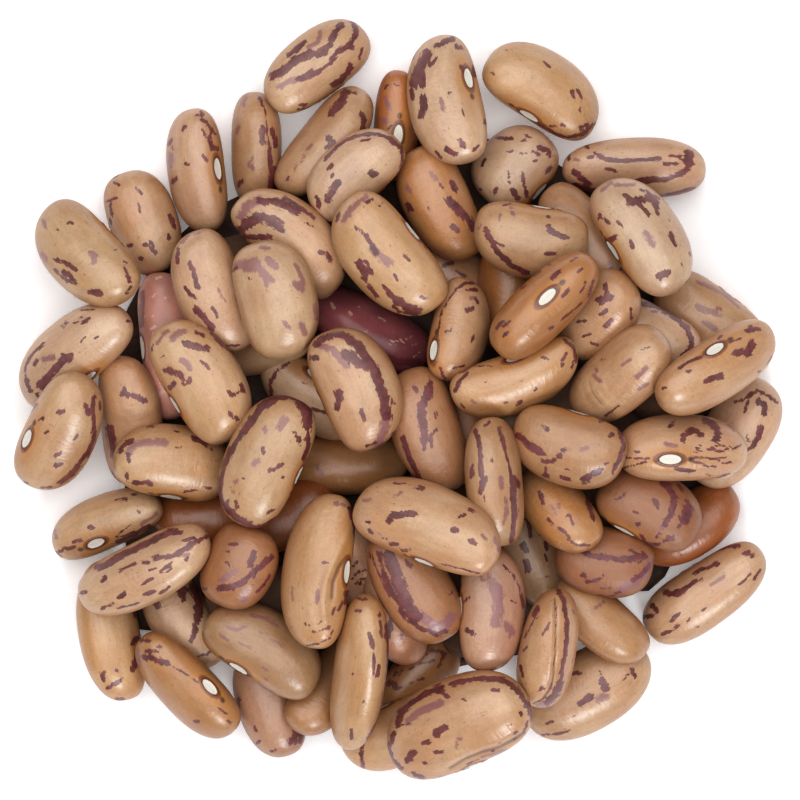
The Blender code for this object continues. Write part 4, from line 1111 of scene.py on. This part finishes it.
coat = beanCoat()
darkBeanCoat = darkCoat()
groups = (
    ("fleckedBeansWest", ("flecked",), lambda bean: bean["centre"][0] < 0, coat),
    ("fleckedBeansEast", ("flecked",), lambda bean: bean["centre"][0] >= 0, coat),
    ("streakedBeansNorth", ("streaked",), lambda bean: bean["centre"][1] >= 0, coat),
    ("streakedBeansSouth", ("streaked",), lambda bean: bean["centre"][1] < 0, coat),
    ("plainBeans", ("plain", "smoky", "faded"), lambda bean: True, coat),
    ("ochreBeans", ("ochre", "russet", "speckled", "pink", "whitish"), lambda bean: True, coat),
    ("mauveBeans", ("mauve", "wine"), lambda bean: True, darkBeanCoat),
)
pieces = []
for name, wanted, side, material in groups:
    chosen = [bean for bean in shownBeans if bean["kind"] in wanted and side(bean)]
    piece = joinedBeans(name, chosen, beanForm["rings"], beanForm["sides"])
    piece.data.materials.append(material)
    pieces.append(piece)
    print(name, len(chosen), "beans,", len(piece.data.polygons), "faces")
# the hidden beans take the dark hidden coat, painted shade in the gaps
for bean in hiddenBeans:
    bean["kind"] = "hidden"
piece = joinedBeans("hiddenBeans", hiddenBeans, beanForm["hiddenRings"], beanForm["hiddenSides"])
piece.data.materials.append(coat)
pieces.append(piece)


# the core: a mound of crumbs and bean backs under the heap, out of sight but for the gaps, its dark brown
# painted shade there
coreForm = {
    "share": 0.11, "edge": 0.8, "rings": 40, "sectors": 96, "smoothing": 7.0,
    "seed": 5, "lumpPlace": 0.55, "lumpScale": 1.6, "lumps": 0.5,
    "reach": (  # how far it goes under the beans: degrees, mm
        (0, 38), (20, 37), (40, 35), (62, 34), (75, 33), (100, 32), (125, 31), (140, 33), (165, 35),
        (182, 37), (194, 34), (206, 37), (214, 39), (218, 42), (222, 42), (226, 39), (234, 36),
        (245, 36), (255, 36), (266, 33), (290, 33), (300, 35), (312, 33.5), (318, 34.5), (321, 37.5),
        (325, 38.5), (335, 38), (360, 38)),
}
# the core's colours: dark browns as painted shade in the deep gaps, with flecks and grain
coreShadeLook = {
    "dark": (52, 32, 22), "light": (76, 50, 34), "fleck": (50, 22, 22), "fleckCover": 0.6,
    "roughness": 0.7, "toneNoise": (None, 260.0, 3.0, 0.6), "toneEdge": (0.35, 0.65),
    "fleckNoise": (None, 900.0, 2.0), "fleckEdge": (0.6, 0.66), "grainNoise": (None, 700.0, 3.0),
    "bump": (0.6, 0.0004),
}


def heapCore():
    centres = (np.arange(cellsAcross) + 0.5) * cell - mapReach
    gridX, gridY = np.meshgrid(centres, centres)
    points = []
    rng = np.random.default_rng(coreForm["seed"])
    degrees, reaches = zip(*coreForm["reach"])
    for ring in range(coreForm["rings"], 0, -1):
        for sector in range(coreForm["sectors"]):
            angle = 2 * np.pi * sector / coreForm["sectors"]
            radius = np.interp(np.degrees(angle), degrees, reaches) * ring / coreForm["rings"]
            x = radius * np.cos(angle)
            y = radius * np.sin(angle)
            near = np.hypot(gridX - x, gridY - y).ravel() < coreForm["smoothing"]
            points.append((x, y, max(topMap[near].mean() * coreForm["share"], coreForm["edge"])))
    points = np.array(points)
    lumps = wobble(points * coreForm["lumpPlace"], rng, coreForm["lumpScale"], coreForm["lumps"])
    points[:, 2] = np.maximum(points[:, 2] + lumps, coreForm["edge"])
    base = points[:coreForm["sectors"]] * (1, 1, 0)
    rounds = np.concatenate([base, points])
    centreTop = points[-coreForm["sectors"]:, 2].mean()
    rounds = np.concatenate([rounds, [[0, 0, 0], [0, 0, centreTop]]]) + shift
    rings = coreForm["rings"] + 1
    sectors = coreForm["sectors"]
    faces = []
    for side in range(sectors):
        beside = (side + 1) % sectors
        faces.append((rings * sectors, beside, side))
        for near in range(0, (rings - 1) * sectors, sectors):
            faces.append((near + side, near + beside, near + sectors + beside,
                          near + sectors + side))
        near = (rings - 1) * sectors
        faces.append((near + side, near + beside, rings * sectors + 1))
    mesh = bpy.data.meshes.new("heapCore")
    mesh.from_pydata((rounds * mm).tolist(), [], faces)
    mesh.polygons.foreach_set("use_smooth", np.ones(len(mesh.polygons), dtype=bool))
    mesh.update()
    made = bpy.data.objects.new("heapCore", mesh)
    bpy.context.scene.collection.objects.link(made)
    look = coreShadeLook
    paint = Paint("heapCorePaintedShade", look["roughness"])
    place = paint.node("ShaderNodeTexCoord", None, None, "Object")
    tone = paint.noise(place, *look["toneNoise"]).ramp(*look["toneEdge"])
    fleck = paint.noise(place, *look["fleckNoise"]).ramp(*look["fleckEdge"])
    color = paint.blend(tone, look["dark"], look["light"])
    color = paint.blend(fleck * look["fleckCover"], color, look["fleck"])
    normal = paint.bump(paint.noise(place, *look["grainNoise"]), *look["bump"])
    made.data.materials.append(paint.use({"Base Color": color, "Normal": normal}))
    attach(made, "root")
    return made


pieces.append(heapCore())
for piece in pieces:
    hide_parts("bean_heap")
print("pieces:", len(pieces))


# white ground, soft studio light and the camera
stageForm = {
    "groundHalf": 4.0, "ground": (0.97, 0.97, 0.98, 1.0), "groundRoughness": 0.85,
    "groundSpecular": 0.2, "groundGlow": 0.15, "world": (0.97, 0.98, 1.0, 1.0), "worldLight": 0.26,
    "lights": {  # energy, size, place, colour, all of them aimed at the heap
        "overhead": (62.0, 2.8, (-0.16, 0.45, 2.0), (1.0, 1.0, 1.0)),
        "front": (8.5, 0.34, (0.34, -0.95, 0.80), (0.88, 0.95, 1.0)),
    },
    "cameraHeight": 1.7, "aimHeight": 0.012, "frameWidth": 96.0, "sensor": 36,
    "clips": (0.05, 20), "gamma": 0.87,
}


def stageScene():
    scene = bpy.context.scene
    bpy.ops.object.select_all(action="DESELECT")
    bpy.ops.mesh.primitive_plane_add(size=2 * stageForm["groundHalf"], location=(0, 0, 0))
    ground = bpy.context.object
    ground.name = "whiteGround"
    paint = Paint("whiteGround", stageForm["groundRoughness"], stageForm["groundSpecular"])
    ground.data.materials.append(paint.use({
        "Base Color": stageForm["ground"], "Emission Color": stageForm["ground"],
        "Emission Strength": stageForm["groundGlow"]}))
    world = bpy.data.worlds.new("softStudio")
    world.use_nodes = True
    background = world.node_tree.nodes["Background"]
    background.inputs["Color"].default_value = stageForm["world"]
    background.inputs["Strength"].default_value = stageForm["worldLight"]
    scene.world = world
    for name, (energy, size, place, tone) in stageForm["lights"].items():
        light = bpy.data.lights.new(name + "Light", "AREA")
        light.energy = energy
        light.color = tone
        light.size = size
        lamp = bpy.data.objects.new(name + "Light", light)
        lamp.location = place
        lamp.rotation_euler = (np.arctan2(np.hypot(place[0], place[1]), place[2]), 0,
                               np.arctan2(place[1], place[0]) + np.pi / 2)
        scene.collection.objects.link(lamp)
    camera = bpy.data.cameras.new("pictureCamera")
    camera.sensor_width = stageForm["sensor"]
    distance = stageForm["cameraHeight"] - stageForm["aimHeight"]
    camera.lens = stageForm["sensor"] * distance / (stageForm["frameWidth"] * mm)
    camera.clip_start, camera.clip_end = stageForm["clips"]
    eye = bpy.data.objects.new("pictureCamera", camera)
    eye.location = (shift[0] * mm, shift[1] * mm, stageForm["cameraHeight"])
    scene.collection.objects.link(eye)
    scene.camera = eye
    scene.view_settings.view_transform = "Standard"
    scene.view_settings.gamma = stageForm["gamma"]


stageScene()
